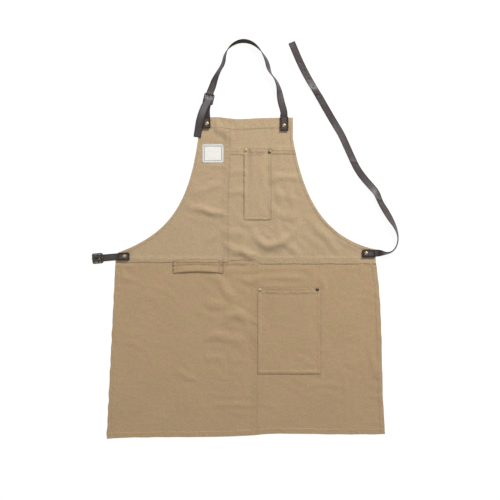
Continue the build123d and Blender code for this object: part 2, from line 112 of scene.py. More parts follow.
# Soft folds that the cloth kept: x and y of both ends, half width, height.
fold_lines = [
    (-90, 308, -38, 284, 11, 4.0),
    (-104, 322, -58, 324, 8, 2.2),
    (-60, 313, -30, 296, 7, 2.2),
    (-92, 203, -50, 200, 10, 1.8),
    (-105, 128, -40, 158, 14, 3.4),
    (-126, 84, -84, 77, 9, 3.0),
    (-84, 77, -44, 66, 8, 3.8),
    (-20, 181, 10, 181, 10, 2.4),
    (-20, 128, 8, 126, 10, 2.5),
    (94, 163, 152, 166, 12, 3.4),
    (94, 119, 136, 115, 12, 2.6),
    (96, 72, 150, 62, 13, 1.8),
    (16, 43, 66, 41, 8, 1.8),
    (40, 18, 74, -17, 11, 3.8),
    (74, -17, 98, -15, 11, 3.6),
    (98, -15, 122, -2, 12, 3.4),
    (122, -2, 162, 32, 14, 3.0),
    (124, -6, 156, -38, 11, 2.9),
    (-26, 20, 14, 6, 11, 2.6),
    (-22, -25, 8, -34, 10, 3.6),
    (8, -34, 40, -44, 9, 3.6),
    (-95, -26, -58, 15, 14, 2.4),
    (196, 46, 228, 14, 13, 2.4),
    (228, 14, 264, -24, 12, 3.0),
    (282, -4, 322, -24, 11, 2.2),
    (-24, -86, 38, -84, 10, 3.2),
    (-38, -62, 12, -63, 5, 2.6),
    (-76, -92, -26, -148, 14, 2.5),
    (2, -106, 42, -112, 12, 3.2),
    (-92, -176, -40, -181, 12, 2.0),
    (-42, -203, -4, -204, 12, 1.5),
    (-4, -204, 38, -214, 13, 2.0),
    (-88, -264, -36, -268, 17, 2.2),
    (-36, -268, 38, -262, 18, 2.2),
    (-70, -318, 10, -330, 16, 2.2),
    (-44, -446, 34, -448, 7, 1.6),
    (-334, -65, -296, -69, 6, 2.6),
    (-332, -92, -300, -106, 12, 3.0),
    (-155, -362, -128, -376, 8, 1.5),
    (356, -286, 366, -356, 11, 2.6),
    (290, -380, 291, -450, 6, 1.2),
    (226, -112, 234, -150, 8, 2.4),
    (50, -103, 160, -102, 10, 2.4),
    (240, -300, 300, -330, 20, 1.4),
    (-250, -160, -190, -172, 22, 1.4),
    (-300, -300, -240, -330, 22, 1.2),
    (200, -392, 256, -396, 12, 1.6),
]

# Places where the cloth is crumpled all over: x and y of the middle, reach both ways, height, length.
crumpled = [
    (70, -5, 90, 42, 1.1, 34),
    (-20, -190, 75, 120, 0.75, 40),
    (120, 95, 60, 90, 0.7, 40),
    (-70, 120, 60, 110, 0.6, 44),
    (-110, -300, 260, 200, 0.45, 60),
    (260, -260, 120, 220, 0.5, 52),
    (-60, 300, 60, 22, 0.8, 26),
    (110, 240, 80, 14, 0.7, 24),
    (350, -80, 40, 22, 0.9, 22),
    (-320, -90, 30, 25, 0.8, 24),
]

fold_step = 8.0  # grid that the settled folds are kept on
fold_x = np.arange(-424.0, 457.0, fold_step)
fold_y = np.arange(-568.0, 361.0, fold_step)
settle_lift = 1.35  # the folds' height before they settle, as a share
settle_gap = 2.5
settle_frames = 24

# ---- leather and metal ----
strap_width = 19.0
strap_thickness = 2.2
ply = 1.5
prong_slot = 3.9
hole_radius = 1.7
hole_half = 1.35  # half the width of the neck strap's hole round the prong
hole_floor = 1.35  # radius at the bottom of a hole, which stops short of the back
hole_depth = 1.2
strap_holes = (60.0, 85.0, 110.0, 135.0, 160.0)  # from the free end
creases = [(586.0, 52.0, 1.0), (362.0, 12.0, 0.8), (238.0, 10.0, 0.8)]  # waist strap twists: place, dark run (length of the painted shadow before it), shade (strength of that shadow and of the painted highlight after it)
neck_bar = (-81.5, 376.7, 4.7)
neck_heading = 77.0
waist_bar = (-378.9, -51.8, 3.4)
waist_heading = 184.7

# The straps' routes repeat the CAD source: x, y, height of the lowest edge, roll.
neck_loop = [
    (122.9, 298.0, 1.9, 0),
    (122.9, 333.0, 1.9, 0),
    (121.5, 348.0, 0.1, 0),
    (115.7, 366.0, 0.1, 4),
    (111.4, 387.0, 0.1, 26),
    (108.2, 409.0, 0.1, 58),
    (99.5, 431.0, 0.1, 77),
    (89.0, 443.5, 0.1, 86),
    (82.6, 455.0, 0.1, 66),
    (79.0, 468.0, 0.1, 56),
    (75.5, 481.0, 0.1, 64),
    (68.5, 495.0, 0.1, 76),
    (56.0, 514.0, 0.1, 94),
    (37.5, 529.5, 0.1, 110),
    (13.4, 535.8, 0.1, 118),
    (-9.5, 530.0, 0.1, 108),
    (-27.5, 516.0, 0.1, 92),
    (-37.5, 497.0, 0.1, 72),
    (-40.6, 474.0, 0.1, 60),
    (-53.0, 454.0, 0.1, 62),
    (-64.8, 430.0, 0.1, 34),
    (-70.8, 411.0, 0.1, 6),
]
neck_through_buckle = [(22.0, 1.2), (16.0, 1.25), (12.2, 1.45), (10.5, 2.3), (1.5, 9.0), (-4.0, 9.15)]
neck_tail = [
    (-89.8, 361.5, 9.0),
    (-97.6, 343.4, 8.7),
    (-104.6, 321.8, 8.6),
    (-108.4, 299.0, 4.6),
    (-112.0, 275.0, 3.1),
]
waist_loop = [
    (335.0, -37.9, 1.9, 0),
    (356.0, -38.0, 1.9, 0),
    (372.0, -37.6, 1.9, 0),
    (384.0, -37.0, 0.5, 40),
    (396.0, -38.4, 0.1, 72),
    (409.0, -36.4, 0.1, 82),
    (420.0, -28.5, 0.1, 82),
    (427.0, -16.5, 0.1, 82),
    (430.5, 0.0, 0.1, 82),
    (428.0, 18.0, 0.1, 76),
    (420.5, 36.0, 0.1, 62),
    (408.5, 56.0, 0.1, 36),
    (395.5, 78.0, 0.1, 28),
    (382.0, 100.0, 0.1, 40),
    (372.2, 126.0, 0.1, 24),
    (356.0, 144.0, 0.1, 6),
    (335.0, 168.0, 0.1, 0),
    (317.8, 193.0, 0.1, 14),
    (305.0, 221.0, 0.1, 12),
    (291.9, 250.0, 0.1, 10),
    (277.2, 283.0, 0.1, 8),
    (258.0, 314.0, 0.1, 0),
    (237.0, 350.0, 0.1, 0),
    (219.0, 382.0, 0.1, 6),
    (205.5, 404.0, 0.1, 22),
    (190.0, 430.0, 0.1, 8),
    (172.0, 464.0, 0.1, 0),
    (156.5, 498.0, 0.1, 0),
    (142.8, 531.6, 0.1, 0),
]


# ---- number helpers ----


def smooth(start, end, x):
    t = np.clip((x - start) / (end - start), 0, 1)
    return t * t * (3 - 2 * t)


def bell(distance, width):
    return np.exp(-((distance / width) ** 2))


def toward(values, target, share):
    """values lowered to target where they are higher, as far as share says."""
    return values + (np.minimum(values, target) - values) * share


def along_of(line):
    """Distance along a polyline at each of its points."""
    return np.concatenate([[0], np.cumsum(np.linalg.norm(np.diff(line, axis=0), axis=1))])


def waves(x, y, length, seed, count=14):
    """A smooth random field of about unit size, made of plane waves of roughly one length."""
    random = np.random.default_rng(seed)
    total = np.zeros(np.broadcast(x, y).shape)
    for _ in range(count):
        turn = random.uniform(0, math.tau)
        number = math.tau / (length * random.uniform(0.7, 1.6))
        total += np.sin((x * math.cos(turn) + y * math.sin(turn)) * number + random.uniform(0, math.tau))
    return total / math.sqrt(count)


def bezier(points, count=160):
    t = np.linspace(0, 1, count)[:, None]
    a, b, c, d = (np.array(p, float) for p in points)
    return a * (1 - t) ** 3 + 3 * b * t * (1 - t) ** 2 + 3 * c * t**2 * (1 - t) + d * t**3


@functools.cache
def cad_box(node):
    """A CAD node's lowest and highest corners, in millimetres."""
    low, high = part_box(node)
    return np.array(low) / MM, np.array(high) / MM


# ---- the apron's outline ----

left_line = np.vstack([[bib_corners[0]], bezier(left_armhole), [waist_corners[0]], [hem_corner_left]])
right_line = np.vstack([[bib_corners[1]], bezier(right_armhole), bezier(right_side)])


def side_x(line, y, seed):
    """x of the apron's edge at height y, a little uneven as a sewn edge is."""
    y = np.asarray(y, float)
    order = np.argsort(line[:, 1])
    wander = 0.55 * waves(y, 0 * y, 38, seed, 6) * smooth(-60, -90, y)
    beyond = (np.minimum(y - line[:, 1].min(), 0)) * 0.03
    return np.interp(y, line[order, 1], line[order, 0]) + wander + beyond * np.sign(line[-1, 0])


def left_x(y):
    return side_x(left_line, y, 3)


def right_x(y):
    return side_x(right_line, y, 4)


def across(line, y):
    """Cosine between the edge's normal and the x axis, by which a distance along x is one across the edge."""
    step = 1.0
    slope = (side_x(line, y + step, 0) - side_x(line, y - step, 0)) / (2 * step)
    return 1 / np.sqrt(1 + slope**2)


def top_y(x):
    """The bib's top edge, pushed up a little near its left corner."""
    rise = 2.7 * bell(x + 58, 26) - 3.0 * bell(x - 4, 42) + 0.8 * bell(x - 130, 40)
    return bib_corners[0][1] + rise


def hem_y(x):
    """The skirt's lower edge, with the left corner hanging a little lower."""
    return np.interp(x, *zip(*hem_line)) + 0.35 * waves(x, 0 * x, 60, 8, 6)


def bib_seam_x(y):
    return bib_seam_top + bib_seam_drift * smooth(300, 40, y)


def straight_seam(y):
    return skirt_seam + 0 * y


def yoke_edge(x):
    drift = (yoke_edge_right - yoke_edge_left) * smooth(20, 100, x)
    return yoke_edge_left + drift + 0.4 * waves(x, 0 * x, 30, 5, 5)


def waist_edge(x):
    drop = waist_edge_left + (waist_edge_middle - waist_edge_left) * smooth(-31, -21, x)
    drop = drop + (waist_edge_right - waist_edge_middle) * smooth(44, 60, x)
    return drop + 0.45 * waves(x, 0 * x, 45, 6, 6)


# ---- cloth heights ----


def hardware(x, y, reach=8.0):
    """1 where straps and tabs press the cloth down, falling to 0 over reach."""
    total = np.zeros(np.broadcast(x, y).shape)
    for node in ("neck_tab_left", "neck_tab_right", "waist_tab_left", "waist_tab_right"):
        low, high = cad_box(node)
        past_x = np.maximum(low[0] - x, x - high[0])
        past_y = np.maximum(low[1] - y, y - high[1])
        total = np.maximum(total, 1 - smooth(press_margin, press_margin + reach, np.maximum(past_x, past_y)))
    return total


def near_points(x, y, places, radius, reach):
    total = np.zeros(np.broadcast(x, y).shape)
    for px, py in places:
        total = np.maximum(total, 1 - smooth(radius, radius + reach, np.hypot(x - px, y - py)))
    return total


def over_patch(x, y):
    low, high = cad_box("plain_patch")
    outside = np.maximum(np.maximum(low[0] - x, x - high[0]), np.maximum(low[1] - y, y - high[1]))
    return 1 - smooth(0, 12, outside)


def placed_folds(x, y):
    """Height of the folds the cloth was laid down with."""
    total = np.zeros(np.broadcast(x, y).shape)
    for x0, y0, x1, y1, width, height in fold_lines:
        run = np.array([x1 - x0, y1 - y0], float)
        length = np.hypot(*run)
        t = ((x - x0) * run[0] + (y - y0) * run[1]) / length**2
        inside = np.clip(t, 0, 1)
        sway = 0.25 * width * np.sin(t * 4.0 + x0)
        away = ((x - x0) * run[1] - (y - y0) * run[0]) / length + sway
        past = (t - inside) * length
        ridge = height * bell(np.hypot(away, 0.55 * past), width)
        total += ridge * (0.75 + 0.25 * np.cos((inside - 0.5) * 3))
    for number, (middle_x, middle_y, reach_x, reach_y, height, length) in enumerate(crumpled):
        zone = bell(x - middle_x, reach_x) * bell(y - middle_y, reach_y)
        total += height * zone * waves(x, y, length, 90 + number)
    total += 0.5 + 0.45 * waves(x, y, 95, 11) + 0.2 * waves(x, y, 42, 12)
    return np.maximum(total, 0)


def settled_folds():
    """The folds on a coarse grid, after a sheet that starts with them has come to rest on the floor."""
    x, y = np.meshgrid(fold_x, fold_y)
    start = placed_folds(x, y)
    inside = (x > left_x(y)) & (x < right_x(y)) & (y > hem_y(x)) & (y < top_y(x))
    index = np.arange(x.size).reshape(x.shape)
    cell = inside[:-1, :-1] & inside[1:, :-1] & inside[1:, 1:] & inside[:-1, 1:]
    faces = np.stack([index[:-1, :-1], index[:-1, 1:], index[1:, 1:], index[1:, :-1]], axis=-1)[cell]
    used, faces = compact(faces.tolist(), x.size)
    points = np.stack([x, y, start * settle_lift + settle_gap], -1).reshape(-1, 3)[used]
    mesh = bpy.data.meshes.new("settling")
    mesh.from_pydata((points * MM).tolist(), [], faces)
    sheet = bpy.data.objects.new("settling", mesh)
    slab = bpy.data.meshes.new("slab")
    slab.from_pydata([(-1, -1, 0), (1, -1, 0), (1, 1, 0), (-1, 1, 0)], [], [[0, 1, 2, 3]])
    slab = bpy.data.objects.new("slab", slab)
    for piece in (sheet, slab):
        bpy.context.scene.collection.objects.link(piece)
    slab.modifiers.new("floor", "COLLISION")
    slab.collision.thickness_outer = 0.001
    slab.collision.cloth_friction = 60
    cloth = sheet.modifiers.new("cloth", "CLOTH")
    cloth.settings.quality = 6
    cloth.settings.mass = 0.02
    cloth.settings.tension_stiffness = 30
    cloth.settings.compression_stiffness = 30
    cloth.settings.shear_stiffness = 12
    cloth.settings.bending_stiffness = 1.2
    cloth.settings.air_damping = 2
    cloth.collision_settings.distance_min = 0.001
    cloth.collision_settings.collision_quality = 3
    cloth.point_cache.frame_end = settle_frames
    for step in range(1, settle_frames + 1):
        bpy.context.scene.frame_set(step)
    rested = sheet.evaluated_get(bpy.context.evaluated_depsgraph_get()).to_mesh()
    height = np.array([v.co.z for v in rested.vertices]) / MM
    bpy.context.scene.frame_set(1)
    for piece in (sheet, slab):
        data = piece.data
        bpy.data.objects.remove(piece)
        bpy.data.meshes.remove(data)
    known = used.reshape(x.shape)
    result = np.zeros(x.shape)
    result[known] = np.maximum(height - np.percentile(height, 2), 0)
    for _ in range(4):
        result, known = spread(result, known)
    return np.where(known, result, start)


def spread(values, known):
    """Gives each unknown place beside known ones their mean."""
    total, count = np.zeros(values.shape), np.zeros(values.shape)
    for shift in ((0, 1), (0, -1), (1, 0), (-1, 0), (1, 1), (-1, -1), (1, -1), (-1, 1)):
        beside = np.roll(known, shift, (0, 1))
        total += np.roll(values, shift, (0, 1)) * beside
        count += beside
    fill = ~known & (count > 0)
    return np.where(fill, total / np.maximum(count, 1), values), known | fill


def sample(grid, x, y):
    """Smooth cubic reading of the fold grid at any place."""
    u = np.clip((x - fold_x[0]) / fold_step, 1, len(fold_x) - 3.001)
    v = np.clip((y - fold_y[0]) / fold_step, 1, len(fold_y) - 3.001)
    i, j = u.astype(int), v.astype(int)
    total = 0
    for row, row_weight in enumerate(spline_weights(v - j)):
        for column, weight in enumerate(spline_weights(u - i)):
            total = total + grid[j + row - 1, i + column - 1] * weight * row_weight
    return total


def spline_weights(t):
    return (1 - t) ** 3 / 6, (3 * t**3 - 6 * t**2 + 4) / 6, (-3 * t**3 + 3 * t**2 + 3 * t + 1) / 6, t**3 / 6


def folds(x, y):
    """Height of the cloth's soft folds above the table, none under the hardware."""
    calm = 1 - np.maximum(hardware(x, y, 14), near_points(x, y, chest_rivets + hip_rivets, 8, 14))
    calm = calm * (1 - 0.8 * over_patch(x, y))
    return np.maximum(sample(fold_grid, x, y), 0) * calm


def band(distance, width, soft=0.9):
    """1 within width of an edge, with a soft step where the turned-in layer ends."""
    return 1 - smooth(width - soft, width + soft, distance)


def groove(distance, at, depth=0.2):
    """The dent of a line of stitching."""
    return depth * bell(distance - at, 0.6)


def rounded(distance, radius=0.9):
    """Share of the full thickness near a folded edge."""
    t = np.clip(distance / radius, 0, 1)
    return 0.22 + 0.78 * np.sqrt(1 - (1 - t) ** 2)


def pucker(x, y, seed):
    """Uneven swelling along a sewn seam."""
    return 0.17 * waves(x, y, 11, seed) + 0.1 * waves(x, y, 27, seed + 1)


def finish_cloth(x, y, low, thick, free):
    """Top and underside heights from the underside's height, the thickness and the nearest free edge."""
    base = folds(x, y)
    press = hardware(x, y)
    top = low + thick
    top = toward(top, under_straps - table, press)
    corner = near_points(x, y, swing_corners, 8, 5)
    top = toward(top, np.maximum(low + 0.6, swing_height), corner)
    half = (top - low) / 2 * rounded(free)
    middle = (top + low) / 2
    upper = middle + half + base
    lower = middle - half + base
    hollow = near_points(x, y, chest_rivets + hip_rivets + strap_rivets, back_radius, 0.7)
    lower = lower + (np.maximum(lower, back_height) - lower) * hollow
    return upper + table, np.minimum(lower + table, upper + table - 0.2)


def bib_edges(x, y):
    """Distances from the left and right armholes, the top and the folded waist edge."""
    left = (x - left_x(y)) * across(left_line, y)
    right = (right_x(y) - x) * across(right_line, y)
    return left, right, top_y(x) - y, y - waist_edge(x)


def waist_step(low_distance):
    """Rise of the bib's underside over the skirt's hidden upper edge."""
    return 1 - smooth(lap + 1.0, lap + 10.0, low_distance)


def left_bib_heights(x, y):
    left, _, top, low = bib_edges(x, y)
    seam = bib_seam_x(y) - x
    over = np.maximum(1 - smooth(lap + 0.4, lap + 11, seam), waist_step(low))
    hems = np.minimum(band(left, armhole_hem) + band(top, top_hem), 1.3)
    laps = np.minimum(0.7 * band(seam, lap, 4.0) + 0.3 * band(low, lap, 4.0), 1.0)
    sewn = np.maximum(band(left, armhole_hem + 2), band(seam, lap + 3))
    sewn = np.maximum.reduce([sewn, band(low, lap + 4), band(top, top_hem + 2)])
    thick = layer * (1 + hems + laps) + pucker(x, y, 21) * sewn
    thick = thick - groove(left, armhole_row) - groove(top, top_row)
    thick = thick - groove(seam, first_row) - groove(seam, second_row)
    thick = thick - groove(low, waist_row) - groove(low, left_waist_row)
    return finish_cloth(x, y, over * (layer + air), thick, np.minimum.reduce([left, top, seam, 0.15 * low]))


def right_bib_heights(x, y):
    _, right, _, low = bib_edges(x, y)
    upper_end = yoke_overlap_top - y
    press = near_points(x, y, chest_rivets, 6, 8)
    hidden = band(upper_end, 15.5) * (1 - 0.45 * press)
    hems = band(right, armhole_hem) * (1 - band(upper_end, 15))
    laps = 0.3 * band(low, lap + 4.6, 6.0)
    sewn = np.maximum.reduce([band(right, armhole_hem + 2), band(low, lap + 8)])
    thick = layer * (1 + np.minimum(hems + laps, 1.6)) + pucker(x, y, 31) * sewn * (1 - hidden)
    thick = thick - groove(right, armhole_row) - groove(low, waist_row)
    for row in right_waist_rows:
        thick = thick - groove(low, row)
    thick = thick * (1 - 0.5 * press * band(upper_end, 22))
    over = 1 - smooth(lap + 5.6, lap + 14.0, low)
    return finish_cloth(x, y, over * (layer + air), thick, np.minimum.reduce([right, 0.15 * low]))


def yoke_heights(x, y):
    _, right, top, _ = bib_edges(x, y)
    edge = y - yoke_edge(x)
    press = near_points(x, y, chest_rivets, 6, 8)
    over = 1 - smooth(17.0, 26.0, edge)
    hems = np.minimum(band(right, armhole_hem) + band(top, top_hem), 1.3)
    laps = 0.3 * band(edge, 14.5, 3.0) + 0.55 * bell(edge - 11.0, 3.0) * (1 - press)
    sewn = np.maximum.reduce([band(right, armhole_hem + 2), band(edge, 19), band(top, top_hem + 2)])
    thick = layer * (1 + hems + laps) + pucker(x, y, 41) * sewn
    thick = thick - groove(right, armhole_row) - groove(top, top_row)
    for row in yoke_rows:
        thick = thick - groove(edge, row, 0.25)
    low = over * (layer + air)
    low = low * (1 - 0.5 * press)
    thick = toward(thick, pressed_yoke, press)
    return finish_cloth(x, y, low, thick, np.minimum.reduce([right, top, 0.3 * edge]))


def left_skirt_heights(x, y):
    left = x - left_x(y)
    seam = skirt_seam - x
    hem = y - hem_y(x)
    under = smooth(-1.5, 1.5, y - waist_edge(x) + 0.8)
    over = 1 - smooth(lap + 0.4, lap + 11, seam)
    hems = np.minimum(band(left, side_hem) + band(hem, bottom_hem), 1.5)
    laps = 0.7 * band(seam, lap, 4.0)
    sewn = np.maximum.reduce([band(left, side_hem + 3), band(seam, lap + 4), band(hem, bottom_hem + 3)])
    thick = layer * (1 + np.minimum(hems + laps, 1.7)) + pucker(x, y, 51) * sewn
    thick = thick - groove(left, side_row) - groove(hem, bottom_row)
    thick = thick - groove(seam, first_row) - groove(seam, second_row)
    low = over * (layer + air)
    low, thick = low * (1 - under), toward(thick, layer, under)
    return finish_cloth(x, y, low, thick, np.minimum.reduce([left, seam, hem]))


def right_skirt_heights(x, y):
    right = right_x(y) - x
    hem = y - hem_y(x)
    under = smooth(-1.5, 1.5, y - waist_edge(x) + 0.8)
    beneath = 1 - smooth(-1.0, 1.0, x - skirt_seam)
    hems = np.minimum(band(right, side_hem) + band(hem, bottom_hem), 1.5)
    sewn = np.maximum.reduce([band(right, side_hem + 3), band(hem, bottom_hem + 3)])
    thick = layer * (1 + hems) + pucker(x, y, 61) * sewn
    thick = thick - groove(right, side_row) - groove(hem, bottom_row)
    thick = toward(thick, layer, np.maximum(under, beneath))
    return finish_cloth(x, y, 0 * x, thick, np.minimum.reduce([right, hem]))


def cloth_top(x, y):
    """Height of the front of the cloth at a place, whichever panel shows there."""
    bib = np.where(x < bib_seam_x(y), left_bib_heights(x, y)[0], right_bib_heights(x, y)[0])
    bib = np.where((x >= bib_seam_x(y)) & (y > yoke_edge(x)), yoke_heights(x, y)[0], bib)
    skirt = np.where(x < skirt_seam, left_skirt_heights(x, y)[0], right_skirt_heights(x, y)[0])
    return np.where(y > waist_edge(x), bib, skirt)


def cloth_back(x, y):
    """Height of the back of the cloth at a place."""
    bib = np.where(x < bib_seam_x(y) - lap, left_bib_heights(x, y)[1], right_bib_heights(x, y)[1])
    bib = np.where((x >= bib_seam_x(y) - lap) & (y > yoke_overlap_top), yoke_heights(x, y)[1], bib)
    skirt = np.where(x < skirt_seam - lap, left_skirt_heights(x, y)[1], right_skirt_heights(x, y)[1])
    return np.where(y > waist_top, bib, skirt)


# ---- meshes ----


def make_mesh(name, points, faces, flat=None, fields=None):
    """A mesh object from points in millimetres; flat is each point's place on the flat material."""
    mesh = bpy.data.meshes.new(name)
    mesh.from_pydata((np.asarray(points) * MM).tolist(), [], faces)
    tidy = bmesh.new()
    tidy.from_mesh(mesh)
    bmesh.ops.recalc_face_normals(tidy, faces=tidy.faces)
    tidy.to_mesh(mesh)
    tidy.free()
    mesh.polygons.foreach_set("use_smooth", [True] * len(mesh.polygons))
    corner = np.zeros(len(mesh.loops), np.int32)
    mesh.loops.foreach_get("vertex_index", corner)
    flat = np.asarray(points)[:, :2] if flat is None else np.asarray(flat)
    layer_uv = mesh.uv_layers.new(name="flat")
    layer_uv.data.foreach_set("uv", (flat[corner] * MM).astype(np.float32).ravel())
    for key, values in (fields or {}).items():
        attribute = mesh.attributes.new(key, "FLOAT", "POINT")
        attribute.data.foreach_set("value", np.asarray(values, np.float32).ravel())
    piece = bpy.data.objects.new(name, mesh)
    bpy.context.scene.collection.objects.link(piece)
    return piece


def grid_solid(name, top, bottom, keep=None, flat=None, fields=None):
    """A closed sheet between two grids of points. keep marks the cells that are there."""
    rows, columns = top.shape[:2]
    count = rows * columns
    index = np.arange(count).reshape(rows, columns)
    keep = np.ones((rows - 1, columns - 1), bool) if keep is None else keep
    cells = np.stack([index[:-1, :-1], index[1:, :-1], index[1:, 1:], index[:-1, 1:]], axis=-1)
    faces = cells[keep].tolist() + (cells[keep][:, ::-1] + count).tolist()
    padded = np.pad(keep, 1)
    for side, (step_row, step_column) in enumerate(((0, -1), (1, 0), (0, 1), (-1, 0))):
        beside = np.roll(padded, (-step_row, -step_column), (0, 1))[1:-1, 1:-1]
        edge = cells[keep & ~beside]
        a, b = edge[:, side], edge[:, (side + 1) % 4]
        faces += np.stack([b, a, a + count, b + count], axis=-1).tolist()
    points = np.concatenate([top.reshape(-1, 3), bottom.reshape(-1, 3)])
    flat = top[..., :2] if flat is None else flat
    flat = np.tile(flat.reshape(-1, 2), (2, 1))
    doubled = {k: np.tile(np.asarray(v).ravel(), 2) for k, v in (fields or {}).items()}
    doubled["back"] = np.repeat([0.0, 1.0], count)
    used, faces = compact(faces, 2 * count)
    return make_mesh(name, points[used], faces, flat[used], {k: v[used] for k, v in doubled.items()})


def sheet_solid(name, x, y, top, bottom, fields):
    """A closed sheet over the grid x, y, between two heights."""
    return grid_solid(name, np.stack([x, y, top], -1), np.stack([x, y, bottom], -1), fields=fields)


def compact(faces, count):
    """Drops the points that no face uses."""
    used = np.zeros(count, bool)
    for face in faces:
        used[face] = True
    new = np.cumsum(used) - 1
    return used, [[int(new[i]) for i in face] for face in faces]


def stations(near_low, near_high, length, step):
    """Places across a panel: fixed distances from each edge, and even shares between them.

    Returns the share of the width, the part added from the low edge and the part taken at the high one.
    """
    near_low, near_high = np.asarray(near_low), np.asarray(near_high)
    inner = np.arange(1, max(2, int(length / step))) / max(2, int(length / step))
    share = np.concatenate([0 * near_low, inner, 1 + 0 * near_high])
    added = np.concatenate([near_low, near_low[-1] * (1 - inner), 0 * near_high])
    taken = np.concatenate([0 * near_low, near_high[-1] * inner, near_high[::-1]])
    return share, added, taken


def spaced_between(low, high, places):
    """Coordinates from low to high at the places that stations gives."""
    share, added, taken = places
    return low + (high - low) * share + added - taken


def upright(places):
    """The same stations as columns, for the way up a grid."""
    return [values[:, None] for values in places]


def box_grid(low, high, places):
    """x and y of a rectangular grid with the same stations both ways."""
    across_it, up_it = (spaced_between(low[k], high[k], places) for k in (0, 1))
    return np.meshgrid(across_it, up_it)


def grid_between(left, right, foot, head, columns, rows):
    """x and y of a grid from left to right, between the curves foot(x) and head(x)."""
    x = spaced_between(left, right, columns)[None]
    return np.broadcast_arrays(x, spaced_between(foot(x), head(x), upright(rows)))


def edge_steps(width, step=0.9):
    """Distances from an edge, close together at its rounding and over a band of that width."""
    return np.concatenate([[0, 0.22, 0.6], np.arange(1.2, width + 3.2, step)])


def rows_between(low, high, step, fine_at, span=3.0, fine=0.8):
    """Row heights from low to high, with closer rows around the given heights."""
    rows = list(np.linspace(low, high, int((high - low) / step) + 1))
    for at in fine_at:
        rows += list(np.arange(at - span, at + span + 0.01, fine))
    rows = np.array(sorted(r for r in rows if low <= r <= high))
    keep = np.concatenate([[True], np.diff(rows) > 0.35])
    return rows[keep]


def painted_shade_of(x, y, lines):
    """Painted shade along seams, folded edges, pocket mouths and the loop's edges: each line is the distance
    from it and how strong it is.
    """
    total = np.zeros(np.broadcast(x, y).shape)
    for distance, strength in lines:
        total = np.maximum(total, strength * bell(distance, 1.3))
    return total * (0.75 + 0.25 * waves(x, y, 9, 77))


def cloth_solid(name, x, y, heights, lines, cloth):
    """A closed sheet of cloth over the grid x, y, with painted shade along its seams."""
    top, bottom = heights(x, y)
    piece = sheet_solid(name, x, y, top, bottom, {"painted_shade": painted_shade_of(x, y, lines)})
    piece.data.materials.append(cloth)
    return piece


def bend_at_waist(piece):
    """Bakes the piece's placement into its mesh; the piece keeps its flat shape."""
    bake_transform(piece)


def panel(name, node, x, y, heights, lines, cloth):
    piece = cloth_solid(name, x, y, heights, lines, cloth)
    bend_at_waist(piece)
    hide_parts(node)


# ---- materials ----


def scaled(colour, *factors):
    """A colour times one factor, or times one for each channel."""
    factors = factors * 3 if len(factors) == 1 else factors
    return tuple(c * f for c, f in zip(colour, factors))


class Nodes:
    """Short names for building a material's node tree."""

    def __init__(self, name):
        self.material = bpy.data.materials.new(name)
        self.material.use_nodes = True
        self.tree = self.material.node_tree
        self.shader = self.tree.nodes["Principled BSDF"]

    def add(self, kind, **inputs):
        node = self.tree.nodes.new(kind)
        for key, value in inputs.items():
            node.inputs[key.replace("_", " ")].default_value = value
        return node

    def link(self, source, target):
        self.tree.links.new(source, target)

    def math(self, operation, a, b=None):
        node = self.tree.nodes.new("ShaderNodeMath")
        node.operation = operation
        for socket, value in zip(node.inputs, (a, b)):
            if isinstance(value, (int, float)):
                socket.default_value = value
            elif value is not None:
                self.link(value, socket)
        return node.outputs[0]

    def mix(self, factor, a, b, mode="MIX"):
        node = self.tree.nodes.new("ShaderNodeMix")
        node.data_type = "RGBA"
        node.blend_type = mode
        for socket, value in zip((node.inputs[0], node.inputs[6], node.inputs[7]), (factor, a, b)):
            if isinstance(value, (int, float)):
                socket.default_value = value
            elif isinstance(value, tuple):
                socket.default_value = (*value, 1)
            else:
                self.link(value, socket)
        return node.outputs[2]

    def noise(self, vector, scale, detail=4.0, stretch=None):
        node = self.add("ShaderNodeTexNoise", Scale=scale, Detail=detail)
        if stretch:
            mapping = self.tree.nodes.new("ShaderNodeMapping")
            mapping.inputs["Scale"].default_value = stretch
            self.link(vector, mapping.inputs["Vector"])
            vector = mapping.outputs[0]
        self.link(vector, node.inputs["Vector"])
        return node.outputs["Fac"]

    def flat(self):
        node = self.tree.nodes.new("ShaderNodeUVMap")
        node.uv_map = "flat"
        return node.outputs[0]

    def place(self):
        return self.tree.nodes.new("ShaderNodeTexCoord").outputs["Object"]

    def field(self, name):
        node = self.tree.nodes.new("ShaderNodeAttribute")
        node.attribute_name = name
        return node.outputs["Fac"]

    def split(self, vector):
        node = self.tree.nodes.new("ShaderNodeSeparateXYZ")
        self.link(vector, node.inputs[0])
        return node.outputs

    def map_range(self, factor, end, low, high):
        node = self.tree.nodes.new("ShaderNodeMapRange")
        node.inputs[end + " Min"].default_value = low
        node.inputs[end + " Max"].default_value = high
        self.link(factor, node.inputs["Value"])
        return node.outputs["Result"]

    def ramp(self, factor, low, high):
        """factor between low and high, as 0 to 1."""
        return self.map_range(factor, "From", low, high)

    def between(self, factor, low, high):
        """0 to 1 as low to high."""
        return self.map_range(factor, "To", low, high)

    def bump(self, height, strength, distance, under=None):
        node = self.add("ShaderNodeBump", Strength=strength, Distance=distance)
        self.link(height, node.inputs["Height"])
        if under is not None:
            self.link(under, node.inputs["Normal"])
        return node.outputs[0]

    def surface(self, colour, roughness, normal, **constants):
        for key, value in (("Base Color", colour), ("Roughness", roughness), ("Normal", normal)):
            if isinstance(value, (int, float)):
                self.shader.inputs[key].default_value = value
            elif value is not None:
                self.link(value, self.shader.inputs[key])
        for key, value in constants.items():
            self.shader.inputs[key.replace("_", " ")].default_value = value
        return self.material


